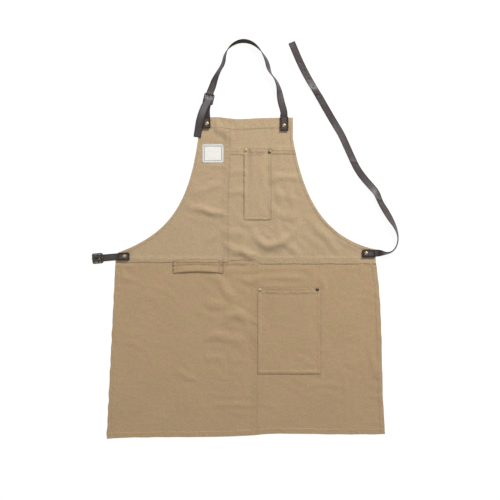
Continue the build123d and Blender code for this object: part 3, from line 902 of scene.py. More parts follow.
def weave(nodes, vector, pitch):
    """Over-and-under threads of a plain weave: the warp shows on every other crossing."""
    axes = nodes.split(vector)
    number = math.pi / pitch
    u = nodes.math("MULTIPLY", axes[0], number)
    v = nodes.math("MULTIPLY", axes[1], number)
    warp = nodes.math("ABSOLUTE", nodes.math("SINE", u))
    weft = nodes.math("ABSOLUTE", nodes.math("SINE", v))
    checks = nodes.math("MULTIPLY", nodes.math("COSINE", u), nodes.math("COSINE", v))
    over = nodes.ramp(checks, -0.35, 0.35)
    shown = nodes.mix(over, weft, warp)
    return shown, over


def canvas_material(name, light, dark, pitch=0.0009):
    nodes = Nodes(name)
    flat = nodes.flat()
    threads, over = weave(nodes, flat, pitch)
    slubs = nodes.noise(flat, 300, 2, (1, 0.06, 1))
    picks = nodes.noise(flat, 300, 2, (0.06, 1, 1))
    cloud = nodes.noise(flat, 14, 6)
    hue = nodes.noise(flat, 30, 3)
    fading = nodes.noise(flat, 190, 3)
    colour = nodes.mix(nodes.ramp(cloud, 0.3, 0.7), light, dark)
    pink = scaled(light, 1.03, 0.94, 0.96)
    olive = scaled(light, 0.95, 1.02, 0.84)
    tint = nodes.mix(nodes.ramp(hue, 0.38, 0.62), pink, olive)
    colour = nodes.mix(0.42, colour, tint)
    rubbed = scaled(light, 1.22)
    colour = nodes.mix(nodes.math("MULTIPLY", nodes.ramp(fading, 0.5, 0.72), 0.42), colour, rubbed)
    dark_mottle_and_shadow = scaled(light, 0.76)
    colour = nodes.mix(nodes.math("MULTIPLY", nodes.ramp(fading, 0.5, 0.3), 0.42), colour, dark_mottle_and_shadow)
    thread_shade = nodes.mix(over, slubs, picks)
    colour = nodes.mix(nodes.between(thread_shade, 0.0, 0.34), colour, scaled(light, 0.72))
    colour = nodes.mix(nodes.between(threads, 0.3, 0.0), colour, scaled(light, 0.45))
    # Painted shade along seams, folded edges and gaps, from the mesh's per-point mask, broken up by noise.
    sewn = nodes.math("MULTIPLY", nodes.field("painted_shade"), nodes.between(nodes.noise(flat, 120, 2), 0.1, 0.8))
    colour = nodes.mix(sewn, colour, scaled(light, 0.42))
    fine = nodes.bump(threads, 0.5, 0.00022)
    coarse = nodes.bump(nodes.noise(flat, 110, 5), 0.22, 0.0010, fine)
    return nodes.surface(
        colour, nodes.between(thread_shade, 0.82, 0.96), coarse,
        Sheen_Weight=0.12, Sheen_Roughness=0.5, Specular_IOR_Level=0.15,
    )


def leather_material(name, light, dark, gloss=0.40):
    """Waxed leather: paler in patches of wear and in painted highlights where it bends, darker in painted
    shadow and at its burnished edges, with a brown flesh side.
    """
    nodes = Nodes(name)
    flat = nodes.flat()
    cloud = nodes.noise(flat, 55, 5, (1, 0.35, 1))
    streak = nodes.noise(flat, 240, 3, (1, 0.12, 1))
    cells = nodes.add("ShaderNodeTexVoronoi", Scale=850.0)
    nodes.link(flat, cells.inputs["Vector"])
    cells.feature = "DISTANCE_TO_EDGE"
    creases = nodes.ramp(cells.outputs["Distance"], 0.0, 0.18)
    colour = nodes.mix(nodes.ramp(cloud, 0.35, 0.65), light, dark)
    colour = nodes.mix(nodes.math("MULTIPLY", nodes.ramp(streak, 0.5, 0.8), 0.35), colour, scaled(light, 1.7))
    # Pale lavender mix: painted highlight where the leather slopes and bends towards the light, with patches
    # of real wear.
    pale_wear_and_sheen = nodes.math("MULTIPLY", nodes.field("wear_and_sheen"), nodes.between(streak, 0.45, 1.0))
    colour = nodes.mix(pale_wear_and_sheen, colour, (0.225, 0.200, 0.240))
    # Near-black mix: painted shadow where the strap lies under the tail, above the tab and in the punched
    # holes.
    colour = nodes.mix(nodes.field("dark_mottle_and_shadow"), colour, (0.022, 0.016, 0.013))
    colour = nodes.mix(nodes.between(creases, 0.35, 0.0), colour, scaled(dark, 0.4))
    flesh = nodes.mix(nodes.ramp(cloud, 0.35, 0.65), (0.044, 0.035, 0.019), (0.024, 0.018, 0.010))
    colour = nodes.mix(nodes.field("back"), colour, flesh)
    burnish = nodes.math("MULTIPLY", nodes.field("edge"), 0.85)
    colour = nodes.mix(burnish, colour, scaled(dark, 0.36))
    grain = nodes.bump(creases, 0.35, 0.00012)
    waver = nodes.bump(cloud, 0.3, 0.0010, grain)
    rough = nodes.between(nodes.noise(flat, 180, 4), gloss - 0.08, gloss + 0.14)
    rough = nodes.math("ADD", rough, nodes.math("MULTIPLY", nodes.field("back"), 0.5))
    return nodes.surface(colour, rough, waver, Specular_IOR_Level=0.38)


def metal_material(name, light, dark, rough, dark_from=None):
    """Brass with tarnish and scratches; what lies beyond dark_from along x is almost black."""
    nodes = Nodes(name)
    place = nodes.place()
    cloud = nodes.noise(place, 260, 5)
    scratch = nodes.noise(place, 900, 3, (1, 0.15, 1))
    colour = nodes.mix(nodes.ramp(cloud, 0.35, 0.65), light, dark)
    scratched = nodes.math("MULTIPLY", nodes.ramp(scratch, 0.6, 0.8), 0.4)
    colour = nodes.mix(scratched, colour, scaled(light, 1.25))
    if dark_from is not None:
        near_black = nodes.mix(nodes.ramp(cloud, 0.35, 0.65), (0.20, 0.15, 0.085), (0.075, 0.052, 0.030))
        colour = nodes.mix(nodes.math("GREATER_THAN", nodes.split(place)[0], dark_from), colour, near_black)
    height = nodes.math("ADD", scratch, cloud)
    return nodes.surface(
        colour, nodes.between(cloud, rough - 0.08, rough + 0.18), nodes.bump(height, 0.15, 0.0002),
        Metallic=1.0,
    )


def thread_material(name, light, dark):
    nodes = Nodes(name)
    twist = nodes.noise(nodes.place(), 1500, 2)
    colour = nodes.mix(nodes.ramp(twist, 0.35, 0.65), light, dark)
    return nodes.surface(colour, 0.8, nodes.bump(twist, 0.4, 0.0001), Sheen_Weight=0.2)


def patch_material(name):
    """Off-white twill with a woven border in grey."""
    nodes = Nodes(name)
    flat = nodes.flat()
    axes = nodes.split(flat)
    slant = nodes.math("ADD", axes[0], axes[1])
    ribs = nodes.math("ABSOLUTE", nodes.math("SINE", nodes.math("MULTIPLY", slant, math.pi / 0.0008)))
    cloud = nodes.noise(flat, 90, 4)
    colour = nodes.mix(nodes.ramp(cloud, 0.3, 0.7), (0.80, 0.78, 0.73), (0.68, 0.66, 0.61))
    colour = nodes.mix(nodes.between(ribs, 0.25, 0.0), colour, (0.45, 0.43, 0.40))
    colour = nodes.mix(nodes.field("edge"), colour, (0.16, 0.155, 0.16))
    return nodes.surface(colour, 0.85, nodes.bump(ribs, 0.4, 0.00018), Sheen_Weight=0.15)


def floor_material():
    """A pale lit sweep, on which shadows stay faint."""
    nodes = Nodes("pale_floor")
    fleck = nodes.noise(nodes.place(), 40, 3)
    colour = nodes.mix(nodes.ramp(fleck, 0.3, 0.7), (0.09, 0.09, 0.09), (0.10, 0.10, 0.10))
    return nodes.surface(colour, 0.9, None, Emission_Color=(1, 1, 1, 1), Emission_Strength=0.92)


canvas = canvas_material("canvas_cloth", (0.469, 0.346, 0.218), (0.422, 0.304, 0.185))
# The skirt's canvas is a darker copy of the bib's: painted shade for the light falling off towards the hem.
shaded_skirt_canvas = canvas_material("canvas_cloth_shaded", (0.452, 0.317, 0.186), (0.402, 0.277, 0.160))
thread = thread_material("tan_thread", (0.45, 0.34, 0.21), (0.31, 0.225, 0.135))
patch_thread = thread_material("patch_thread", (0.75, 0.73, 0.68), (0.55, 0.53, 0.49))
leather = leather_material("strap_leather", (0.076, 0.060, 0.056), (0.045, 0.034, 0.031))
tab_leather = leather_material("tab_leather", (0.042, 0.027, 0.022), (0.025, 0.016, 0.013), 0.42)
bright_brass = ((0.60, 0.51, 0.31), (0.27, 0.21, 0.11), 0.45)
brass = metal_material("rivet_brass", *bright_brass)
antique = metal_material("buckle_brass", (0.125, 0.115, 0.068), (0.035, 0.031, 0.020), 0.50)
patch_cloth = patch_material("patch_twill")


# ---- cloth panels ----


def panel_grid(rows, low_x, high_x, near_low, near_high, length, step, low_scale=None, high_scale=None):
    """Points of a panel whose rows keep one y: x runs from low_x(y) to high_x(y)."""
    share, added, taken = stations(near_low, near_high, length, step)
    y = np.repeat(rows[:, None], len(share), axis=1)
    low, high = low_x(y), high_x(y)
    low_scale = 1 if low_scale is None else low_scale(y)
    high_scale = 1 if high_scale is None else high_scale(y)
    return low + (high - low) * share + added * low_scale - taken * high_scale, y


def slope_scale(line, limit=2.6):
    return lambda y: np.minimum(1 / across(line, y), limit)


def armhole_rows(line, low, high, step, fine_at):
    """Rows for a bib panel, close enough together that its slanting edge has even steps."""
    inside = line[(line[:, 1] > low) & (line[:, 1] < high)]
    lengths = along_of(inside)
    along = np.interp(np.arange(0, lengths[-1], step * 2), lengths, inside[:, 1])
    base = rows_between(low, high, step, fine_at)
    rows = np.array(sorted(list(base) + [r for r in along if low < r < high]))
    keep = np.concatenate([[True], np.diff(rows) > 0.35])
    keep[-1] = True
    return rows[keep]


def stretch_rows(y, low_y, high_y, ease=24.0):
    """Moves the rows near the top and bottom so that they end on an uneven edge."""
    low, high = y.min(), y.max()
    lower = (low_y - low) * (1 - smooth(0, ease, y - low))
    upper = (high_y - high) * (1 - smooth(0, ease, high - y))
    return y + lower + upper


def left_bib():
    fine_at = (299.5, waist_edge_left, -50, 327)
    rows = armhole_rows(left_line, waist_edge_left, bib_corners[0][1], 2.2, fine_at)
    x, y = panel_grid(
        rows, left_x, bib_seam_x, edge_steps(armhole_hem), edge_steps(lap + 3), 190, 2.2,
        slope_scale(left_line),
    )
    y = stretch_rows(y, waist_edge(x), top_y(x), 14)
    left, _, top, low = bib_edges(x, y)
    seam = bib_seam_x(y) - x
    # Painted shade along the rows of stitches, the waist edge and the seam's folded edge.
    lines = [
        (left - armhole_row, 0.4), (top - top_row, 0.4), (seam - first_row, 0.4), (seam - second_row, 0.35),
        (low - waist_row, 0.2), (low - left_waist_row, 0.35), (seam, 1.1),
    ]
    panel("bib_left_canvas", "bib_left_panel", x, y, left_bib_heights, lines, canvas)


def right_bib():
    fine_at = (waist_edge_right, -51, 240, 246)
    rows = armhole_rows(right_line, waist_edge_right, yoke_overlap_top, 2.2, fine_at)
    x, y = panel_grid(
        rows, lambda y: bib_seam_x(y) - lap, right_x, edge_steps(3, 2.0), edge_steps(armhole_hem), 330, 2.2,
        None, slope_scale(right_line),
    )
    y = stretch_rows(y, waist_edge(x), yoke_overlap_top + 0 * x, 14)
    _, right, _, low = bib_edges(x, y)
    seam = x - bib_seam_x(y)
    # Painted shade along the rows of stitches, the waist edge and the seam's folded edge.
    lines = [
        (right - armhole_row, 0.4), (low - waist_row, 0.2), (low - right_waist_rows[0], 0.5),
        (low - right_waist_rows[1], 0.35), (low, 0.1), (seam, 1.1), (seam + second_row, 0.3),
    ]
    panel("bib_right_canvas", "bib_right_panel", x, y, right_bib_heights, lines, canvas)


def yoke():
    rows = rows_between(yoke_edge_left, bib_corners[0][1], 2.2, (yoke_edge_left, 241, 299.5, 327))
    x, y = panel_grid(
        rows, lambda y: bib_seam_x(y) - lap, right_x, edge_steps(3, 2.0), edge_steps(armhole_hem), 160, 2.2
    )
    y = stretch_rows(y, yoke_edge(x), top_y(x), 12)
    _, right, top, _ = bib_edges(x, y)
    edge = y - yoke_edge(x)
    # Painted shade along the rows of stitches, the pressed line and the yoke's folded edge.
    lines = [
        (right - armhole_row, 0.4), (top - top_row, 0.3), (edge - yoke_rows[0], 0.3),
        (edge - yoke_tuck, 0.75), (edge - yoke_rows[1], 0.6), (edge, 0.15), (x - bib_seam_x(y), 1.1),
    ]
    panel("bib_yoke_canvas", "bib_yoke", x, y, yoke_heights, lines, canvas)


def skirt_grid(low_x, high_x, near_low, near_high, length):
    """Rows run from the hem to the hidden upper edge, following both."""
    columns = stations(near_low, near_high, length, 2.6)
    rows = upright(stations(edge_steps(bottom_hem), np.arange(0, 24, 1.6), 450, 2.6))
    y = spaced_between(hem_middle_y, waist_top, rows)
    for _ in range(2):
        x = spaced_between(low_x(y), high_x(y), columns)
        y = spaced_between(hem_y(x), waist_top, rows)
    return x, y


def left_skirt():
    x, y = skirt_grid(left_x, straight_seam, edge_steps(side_hem), edge_steps(lap + 3), 360)
    left, seam, hem = x - left_x(y), skirt_seam - x, y - hem_y(x)
    # Painted shade along the rows of stitches and the seam, and a painted shadow along the short row between
    # the loop and the seam.
    lines = [
        (left - side_row, 0.35), (hem - bottom_row, 0.4), (seam - first_row, 0.5), (seam - second_row, 0.45),
        (seam, 0.5), (y - short_row_y, 1.1 * smooth(-37, -31, x) * (1 - smooth(40, 47, x))),
    ]
    panel(
        "skirt_left_canvas", "skirt_left_panel", x, y, left_skirt_heights, lines,
        shaded_skirt_canvas,
    )


def right_skirt():
    x, y = skirt_grid(
        lambda y: straight_seam(y) - lap, right_x, edge_steps(3, 2.0), edge_steps(side_hem), 310
    )
    right, hem = right_x(y) - x, y - hem_y(x)
    # Painted shade along the rows of stitches.
    lines = [(right - side_row, 0.35), (hem - bottom_row, 0.4)]
    panel(
        "skirt_right_canvas", "skirt_right_panel", x, y, right_skirt_heights, lines,
        shaded_skirt_canvas,
    )


# ---- pockets, loop and patch ----

pocket_row = 1.8  # the row of stitches round a pocket, from its edge
mouth_row = 1.6  # the one along its mouth's hem, from the hem's lower edge
# Each pocket's rim shade value sets the strength of the painted shade round its edge.
pockets = {
    "chest_pocket": {
        "rivets": chest_rivets, "gape": 2.6, "flange": 10, "ramp": 24, "hem": 11.4, "sag": 0.6,
        "corner": 5.0, "rim": 7.0, "top_stitch": 2.0, "rim_painted_shade": 1.15,
    },
    "hip_pocket": {
        "rivets": hip_rivets, "gape": 2.8, "flange": 16, "ramp": 50, "hem": 17.4, "sag": 2.2,
        "corner": 1.6, "rim": 9.0, "top_stitch": 7.4, "rim_painted_shade": 0.6,
    },
}


def pocket_shape(name):
    """The pocket's edges as (left, right, mouth, bottom), from its CAD node."""
    low, high = cad_box(name)
    return low[0], high[0], high[1], low[1]


def pocket_mouth(name, x):
    left, right, mouth, _ = pocket_shape(name)
    share = np.clip((x - left) / (right - left), 0, 1)
    return mouth - pockets[name]["sag"] * np.sin(share * math.pi)


def pocket_foot(name, x):
    """The lower edge, with rounded corners."""
    left, right, _, bottom = pocket_shape(name)
    corner = pockets[name]["corner"]
    inside = np.clip(np.minimum(x - left, right - x), 0, corner)
    return bottom + corner - np.sqrt(corner**2 - (corner - inside) ** 2)


def pocket_heights(name, x, y):
    kind = pockets[name]
    left, right, mouth, bottom = pocket_shape(name)
    side = np.minimum(x - left, right - x)
    foot = y - pocket_foot(name, x)
    head = pocket_mouth(name, x) - y
    height_share = np.clip((y - bottom) / (mouth - bottom), 0, 1)
    opened = smooth(kind["flange"], kind["ramp"], side) * height_share**1.4
    rim = np.minimum.reduce([side, foot])
    press = near_points(x, y, kind["rivets"], 5.5, 6)
    turned = np.minimum(band(rim, kind["rim"]) + band(head, kind["hem"]), 1.25)
    sewn = np.maximum(band(rim, kind["rim"] + 2), band(head, kind["hem"] + 2))
    swell = 0.5 * smooth(0, 18, rim) * (0.6 + 0.4 * waves(x, y, 70, 71))
    thick = layer * (1 + turned) + pucker(x, y, 72) * sewn
    thick = thick - groove(rim, pocket_row, 0.25)
    thick = thick - groove(head, kind["hem"] - mouth_row, 0.4) - groove(head, kind["top_stitch"], 0.4)
    low = cloth_top(x, y) + air + (kind["gape"] * opened + swell) * (1 - press)
    top = low + thick
    top = toward(top, cap_seat, press)
    low = toward(low, cap_seat - 0.8, press)
    half = (top - low) / 2 * rounded(np.minimum(rim, head))
    return (top + low) / 2 + half, (top + low) / 2 - half


def pocket(name, body, cloth):
    kind = pockets[name]
    left, right, mouth, bottom = pocket_shape(name)
    columns = stations(edge_steps(kind["rim"]), edge_steps(kind["rim"]), right - left - 24, 2.2)
    rows = stations(edge_steps(kind["rim"]), edge_steps(kind["hem"]), mouth - bottom - 30, 2.2)
    x, y = grid_between(
        left, right, lambda x: pocket_foot(name, x), lambda x: pocket_mouth(name, x), columns, rows
    )
    rim = np.minimum.reduce([x - left, right - x, y - pocket_foot(name, x)])
    head = pocket_mouth(name, x) - y
    # Painted shade round the pocket's edges and stitch rows, darkest at the mouth where it gapes.
    lines = [
        (rim - pocket_row, kind["rim_painted_shade"]), (rim, kind["rim_painted_shade"]),
        (head - kind["hem"] + mouth_row, 0.8), (head - kind["top_stitch"], 0.8), (0.8 * head, 1.2),
    ]
    piece = cloth_solid(name + "_canvas", x, y, lambda x, y: pocket_heights(name, x, y), lines, cloth)
    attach(piece, body)
    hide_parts(name)


loop_left, loop_right = cad_box("towel_loop")[0][0], cad_box("towel_loop")[1][0]
loop_head, loop_foot = -57.4, -93.0
loop_bow = 5.0  # how much higher the lower edge is at the middle
loop_end = 12.0  # length sewn down at each end
loop_gape = 1.5
loop_crease = 0.42  # where the doubled strip is creased, as a share of its height from the top


def loop_edge(x):
    share = np.clip((x - loop_left) / (loop_right - loop_left), 0, 1)
    return loop_foot + loop_bow * np.sin(share * math.pi) ** 0.8


def loop_top_edge(x):
    share = np.clip((x - loop_left) / (loop_right - loop_left), 0, 1)
    return loop_head + 2.2 * np.sin(share * math.pi) ** 2 - 1.2 * (1 - smooth(0, 30, x - loop_left))


def loop_heights(x, y):
    side = np.minimum(x - loop_left, loop_right - x)
    foot, head = y - loop_edge(x), loop_top_edge(x) - y
    share = head / (head + foot)
    opened = smooth(loop_end - 3, loop_end + 22, side)
    upper_roll = np.sin(np.clip(share / loop_crease, 0, 1) * math.pi) * 0.9
    lower_roll = np.sin(np.clip((share - loop_crease) / (1 - loop_crease), 0, 1) * math.pi) * 1.3
    rolls = (upper_roll + lower_roll) * (0.35 + 0.65 * opened)
    turned = np.maximum(band(foot, 7), band(head, 6))
    tacked = band(side, loop_end)
    thick = layer * (1.7 + 0.5 * np.minimum(turned + tacked, 1.4)) + pucker(x, y, 81) * tacked
    thick = thick - groove(side, 2.0, 0.3) - groove(side, loop_end - 1, 0.3) - groove(head, 1.8)
    thick = thick - 0.5 * bell(share - loop_crease, 0.06) * tacked
    low = cloth_top(x, y) + air + (loop_gape * (0.55 + 0.45 * share) * opened + rolls * 0.9)
    half = thick / 2 * rounded(np.minimum.reduce([side, foot, head]), 1.2)
    return low + thick / 2 + half, low + thick / 2 - half


def towel_loop():
    columns = stations(edge_steps(loop_end), edge_steps(loop_end), loop_right - loop_left - 30, 2.0)
    rows = stations(edge_steps(5), edge_steps(5), 20, 0.9)
    x, y = grid_between(loop_left, loop_right, loop_edge, loop_top_edge, columns, rows)
    foot, head = loop_edge(x), loop_top_edge(x)
    side = np.minimum(x - loop_left, loop_right - x)
    crease = ((head - y) / (head - foot) - loop_crease) * 36
    # Painted shade at the sewn ends, along the crease and the top edge, and a painted shadow under the lower
    # edge where the loop stands off the skirt.
    lines = [
        (0.6 * (side - 2.0), 1.8), (0.8 * (side - loop_end + 1), 1.4), (0.6 * side, 1.8), (y - foot, 2.2),
        (0.5 * crease, 1.1), (0.8 * (head - y), 1.8),
    ]
    piece = cloth_solid("towel_loop_canvas", x, y, loop_heights, lines, shaded_skirt_canvas)
    bend_at_waist(piece)
    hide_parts("towel_loop")


def patch():
    low, high = cad_box("plain_patch")
    near = edge_steps(6, 0.7)
    x, y = box_grid(low, high, stations(near, near, 40, 1.2))
    corner = 5.0
    inside_x, inside_y = np.minimum(x - low[0], high[0] - x), np.minimum(y - low[1], high[1] - y)
    cut_x = corner - np.sqrt(np.maximum(corner**2 - (corner - np.clip(inside_y, 0, corner)) ** 2, 0))
    shrink = np.clip(1 - inside_x / corner, 0, 1)
    x = x + np.sign((low[0] + high[0]) / 2 - x) * cut_x * shrink
    rim = np.minimum(np.minimum(x - low[0], high[0] - x), np.minimum(y - low[1], high[1] - y))
    bottom = cloth_top(x, y) + 0.04
    top = bottom + 0.5 + 0.35 * bell(rim - 1.3, 1.1)
    half = (top - bottom) / 2 * rounded(rim, 0.7)
    middle = (top + bottom) / 2
    fields = {"edge": np.maximum(bell(rim - 5.2, 0.9), 0.25 * bell(rim - 1.3, 1.2))}
    piece = sheet_solid("plain_patch_twill", x, y, middle + half, middle - half, fields)
    piece.data.materials.append(patch_cloth)
    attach(piece, "bib")
    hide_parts("plain_patch")


# ---- stitches ----

thread_radius = 0.33
stitch_length = 2.7
stitch_pitch = 3.5


def capsule(sides=6):
    """A short thread along x, from -0.5 to 0.5, thick 1 in the middle."""
    rings = [(-0.5, 0.35), (-0.36, 0.85), (0.0, 1.0), (0.36, 0.85), (0.5, 0.35)]
    turn = np.arange(sides) * math.tau / sides
    points = [(x, r * math.cos(a), r * math.sin(a)) for x, r in rings for a in turn]
    faces = []
    for ring in range(len(rings) - 1):
        for i in range(sides):
            j = (i + 1) % sides
            faces.append([ring * sides + i, ring * sides + j, (ring + 1) * sides + j, (ring + 1) * sides + i])
    faces.append(list(range(sides))[::-1])
    faces.append([(len(rings) - 1) * sides + i for i in range(sides)])
    return np.array(points), faces


def stitch_places(line, pitch=stitch_pitch):
    """Middle and direction of each stitch along a polyline of (x, y) points."""
    line = np.asarray(line, float)
    lengths = along_of(line)
    count = max(1, int(lengths[-1] / pitch))
    at = (np.arange(count) + 0.5) * lengths[-1] / count
    middle = np.stack([np.interp(at, lengths, line[:, k]) for k in (0, 1)], -1)
    ahead = np.stack([np.interp(at + 0.4, lengths, line[:, k]) for k in (0, 1)], -1)
    behind = np.stack([np.interp(at - 0.4, lengths, line[:, k]) for k in (0, 1)], -1)
    way = ahead - behind
    return middle, way / np.maximum(np.hypot(*way.T), 1e-9)[:, None]


def stitches(name, lines, height, seed, back=None, length=stitch_length, pitch=stitch_pitch):
    """One mesh with a thread for each stitch; back is the height of the other side, stitched too."""
    random = np.random.default_rng(seed)
    shape, shape_faces = capsule()
    points, faces = [], []
    for line in lines:
        middle, way = stitch_places(line, pitch)
        for surface, outward in ((height, 1), (back, -1)):
            if surface is None:
                continue
            spread = random.uniform(-0.12, 0.12, len(middle))
            turn = random.normal(0, 0.06, len(middle))
            along = np.stack([way[:, 0] - way[:, 1] * turn, way[:, 1] + way[:, 0] * turn], -1)
            side = np.stack([-along[:, 1], along[:, 0]], -1)
            centre = middle + side * spread[:, None] + (0 if outward == 1 else stitch_pitch / 2) * along
            ends = [centre + along * s * length / 2 for s in (-1, 1)]
            rise = (surface(*ends[1].T) - surface(*ends[0].T)) / length
            z = surface(*centre.T) + outward * 0.10
            size = random.uniform(0.92, 1.06, len(middle)) * length
            for k in range(len(centre)):
                run = shape[:, 0] * size[k]
                width, up = shape[:, 1] * thread_radius, shape[:, 2] * thread_radius * 0.8
                xy = centre[k] + run[:, None] * along[k] + width[:, None] * side[k]
                dip = -outward * 0.18 * (2 * shape[:, 0]) ** 4
                points.append(np.column_stack([xy, z[k] + run * rise[k] + up + dip]))
    for k in range(len(points)):
        faces += [[i + k * len(shape) for i in face] for face in shape_faces]
    piece = make_mesh(name, np.concatenate(points), faces)
    piece.data.materials.append(thread)
    return piece


def edge_line(line, distance, low, high, sign):
    """A line of stitching that keeps its distance from a side edge."""
    y = np.linspace(low, high, 300)
    x = side_x(line, y, 3 if sign > 0 else 4) + sign * distance * np.minimum(1 / across(line, y), 3.2)
    return np.stack([x, y], -1)


def level_line(edge, distance, low, high):
    x = np.linspace(low, high, 200)
    return np.stack([x, edge(x) + distance], -1)


def seam_line(seam, distance, low, high):
    y = np.linspace(low, high, 200)
    return np.stack([seam(y) - distance, y], -1)


def bib_stitches():
    beside_tab = cad_box("waist_tab_left")[1][0] + 2
    seam_foot, seam_head = waist_edge_left + 3, 325
    lines = [
        edge_line(left_line, armhole_row, -30, 300, 1),
        edge_line(right_line, armhole_row, -20, 326, -1),
        level_line(top_y, -top_row, -74, 108),
    ]
    lines += [seam_line(bib_seam_x, row, seam_foot, seam_head) for row in (first_row, second_row)]
    lines += [level_line(yoke_edge, row, *span) for row in yoke_rows for span in ((-21, 12), (90, 142))]
    lines += [level_line(waist_edge, row, beside_tab, 46) for row in (waist_row, left_waist_row)]
    lines += [level_line(waist_edge, row, 58, 330) for row in (waist_row, *right_waist_rows)]
    piece = stitches("bib_stitching", lines, cloth_top, 5, cloth_back)
    bend_at_waist(piece)


def skirt_stitches():
    foot = hem_corner_left[1]
    lines = [
        edge_line(left_line, side_row, foot + 8, waist_edge_left - 3, 1),
        edge_line(right_line, side_row, foot + 16, waist_edge_right - 3, -1),
        level_line(hem_y, bottom_row, -352, 393),
    ]
    for row in (first_row, second_row):
        lines.append(seam_line(straight_seam, row, hem_middle_y + 3, waist_edge_left - 3))
    lines.append(level_line(lambda x: short_row_y + 0 * x, 0, -30, 44))
    piece = stitches("skirt_stitching", lines, cloth_top, 6, cloth_back)
    bend_at_waist(piece)


def pocket_stitches(name, body, seed):
    kind = pockets[name]
    left, right, mouth, bottom = pocket_shape(name)
    inset, corner = pocket_row, kind["corner"]
    rest = corner + 1
    around = [
        (left + inset, mouth - 2), (left + inset, bottom + rest), (left + rest, bottom + inset),
        (right - rest, bottom + inset), (right - inset, bottom + rest), (right - inset, mouth - 2),
    ]
    lines = [
        around,
        level_line(lambda x: pocket_mouth(name, x), -kind["hem"] + mouth_row, left + 3, right - 3),
        level_line(lambda x: pocket_mouth(name, x), -kind["top_stitch"], left + 3, right - 3),
    ]
    lines = [clear_of(line, kind["rivets"]) for line in lines]
    lines = [part for parts in lines for part in parts]
    piece = stitches(name + "_stitching", lines, lambda x, y: pocket_heights(name, x, y)[0], seed)
    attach(piece, body)


def clear_of(line, places, radius=5.2):
    """The parts of a line that stay clear of the rivets."""
    line = np.asarray(line, float)
    lengths = along_of(line)
    at = np.linspace(0, lengths[-1], int(lengths[-1]) + 2)
    fine = np.stack([np.interp(at, lengths, line[:, k]) for k in (0, 1)], -1)
    free = np.all([np.hypot(fine[:, 0] - px, fine[:, 1] - py) > radius for px, py in places], axis=0)
    parts = np.split(np.arange(len(fine)), np.nonzero(np.diff(free))[0] + 1)
    return [fine[p] for p in parts if free[p[0]] and len(p) > 3]


def loop_stitches():
    lines = []
    for sign, edge in ((1, loop_left), (-1, loop_right)):
        for inset in (2.0, loop_end - 1):
            x = edge + sign * inset
            lines.append([(x, float(loop_top_edge(x)) - 1.5), (x, float(loop_edge(x)) + 1.5)])
    piece = stitches("towel_loop_stitching", lines, lambda x, y: loop_heights(x, y)[0], 9, None, 2.0, 2.3)
    bend_at_waist(piece)


def patch_stitches():
    low, high = cad_box("plain_patch")
    inset, corner = 1.4, 3.2
    a, b = low[:2] + inset, high[:2] - inset
    line = [
        (a[0] + corner, a[1]), (b[0] - corner, a[1]), (b[0], a[1] + corner), (b[0], b[1] - corner),
        (b[0] - corner, b[1]), (a[0] + corner, b[1]), (a[0], b[1] - corner), (a[0], a[1] + corner),
        (a[0] + corner, a[1]),
    ]
    piece = stitches("patch_stitching", [line], lambda x, y: cloth_top(x, y) + 0.85, 12, None, 1.9, 2.2)
    piece.data.materials[0] = patch_thread
    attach(piece, "bib")


# ---- leather ----


def read_line(points, steps=16):
    """Points along the smooth NURBS line whose control points are given, in millimetres."""
    curve = bpy.data.curves.new("route", "CURVE")
    curve.dimensions = "3D"
    spline = curve.splines.new("NURBS")
    spline.points.add(len(points) - 1)
    for point, place in zip(spline.points, points):
        point.co = (*[c * MM for c in place], 1)
    spline.order_u = 3
    spline.use_endpoint_u = True
    spline.resolution_u = steps
    holder = bpy.data.objects.new("route", curve)
    mesh = bpy.data.meshes.new_from_object(holder)
    line = np.array([v.co for v in mesh.vertices], float) / MM
    bpy.data.meshes.remove(mesh)
    bpy.data.objects.remove(holder)
    bpy.data.curves.remove(curve)
    return line


def unit(vectors):
    return vectors / np.maximum(np.linalg.norm(vectors, axis=-1, keepdims=True), 1e-12)


def strap_frames(line, roll):
    """Directions across and out of a strap; roll turns its face outwards, to the right of travel."""
    along = unit(np.gradient(line, axis=0))
    right = unit(np.cross(along, (0, 0, 1)))
    up = np.cross(right, along)
    turn = np.radians(roll)[:, None]
    width_way = right * np.cos(turn) - up * np.sin(turn)
    return width_way, np.cross(width_way, along)


def across_strap(half, extra=()):
    """Places across a strap, close together at its edges and its creased lines."""
    side = [0.0, 0.9, 1.8, 3.4, 5.2, 6.4, 7.0, 7.6, 8.4, 9.0, 9.34, 9.5]
    side = sorted({round(s * half / 9.5, 4) for s in side if s > 1.9 or not extra} | set(extra) | {0.0})
    return np.array([-s for s in side[:0:-1]] + side)


def strap_profile(w, half, thickness, crease=0.16):
    """Half thickness across the strap: rounded edges and a pressed line near each of them."""
    inside = half - np.abs(w)
    edge = 0.45 + 0.55 * np.sqrt(1 - (1 - np.clip(inside / 0.7, 0, 1)) ** 2)
    return thickness / 2 * edge, crease * bell(inside - 2.5, 0.42)


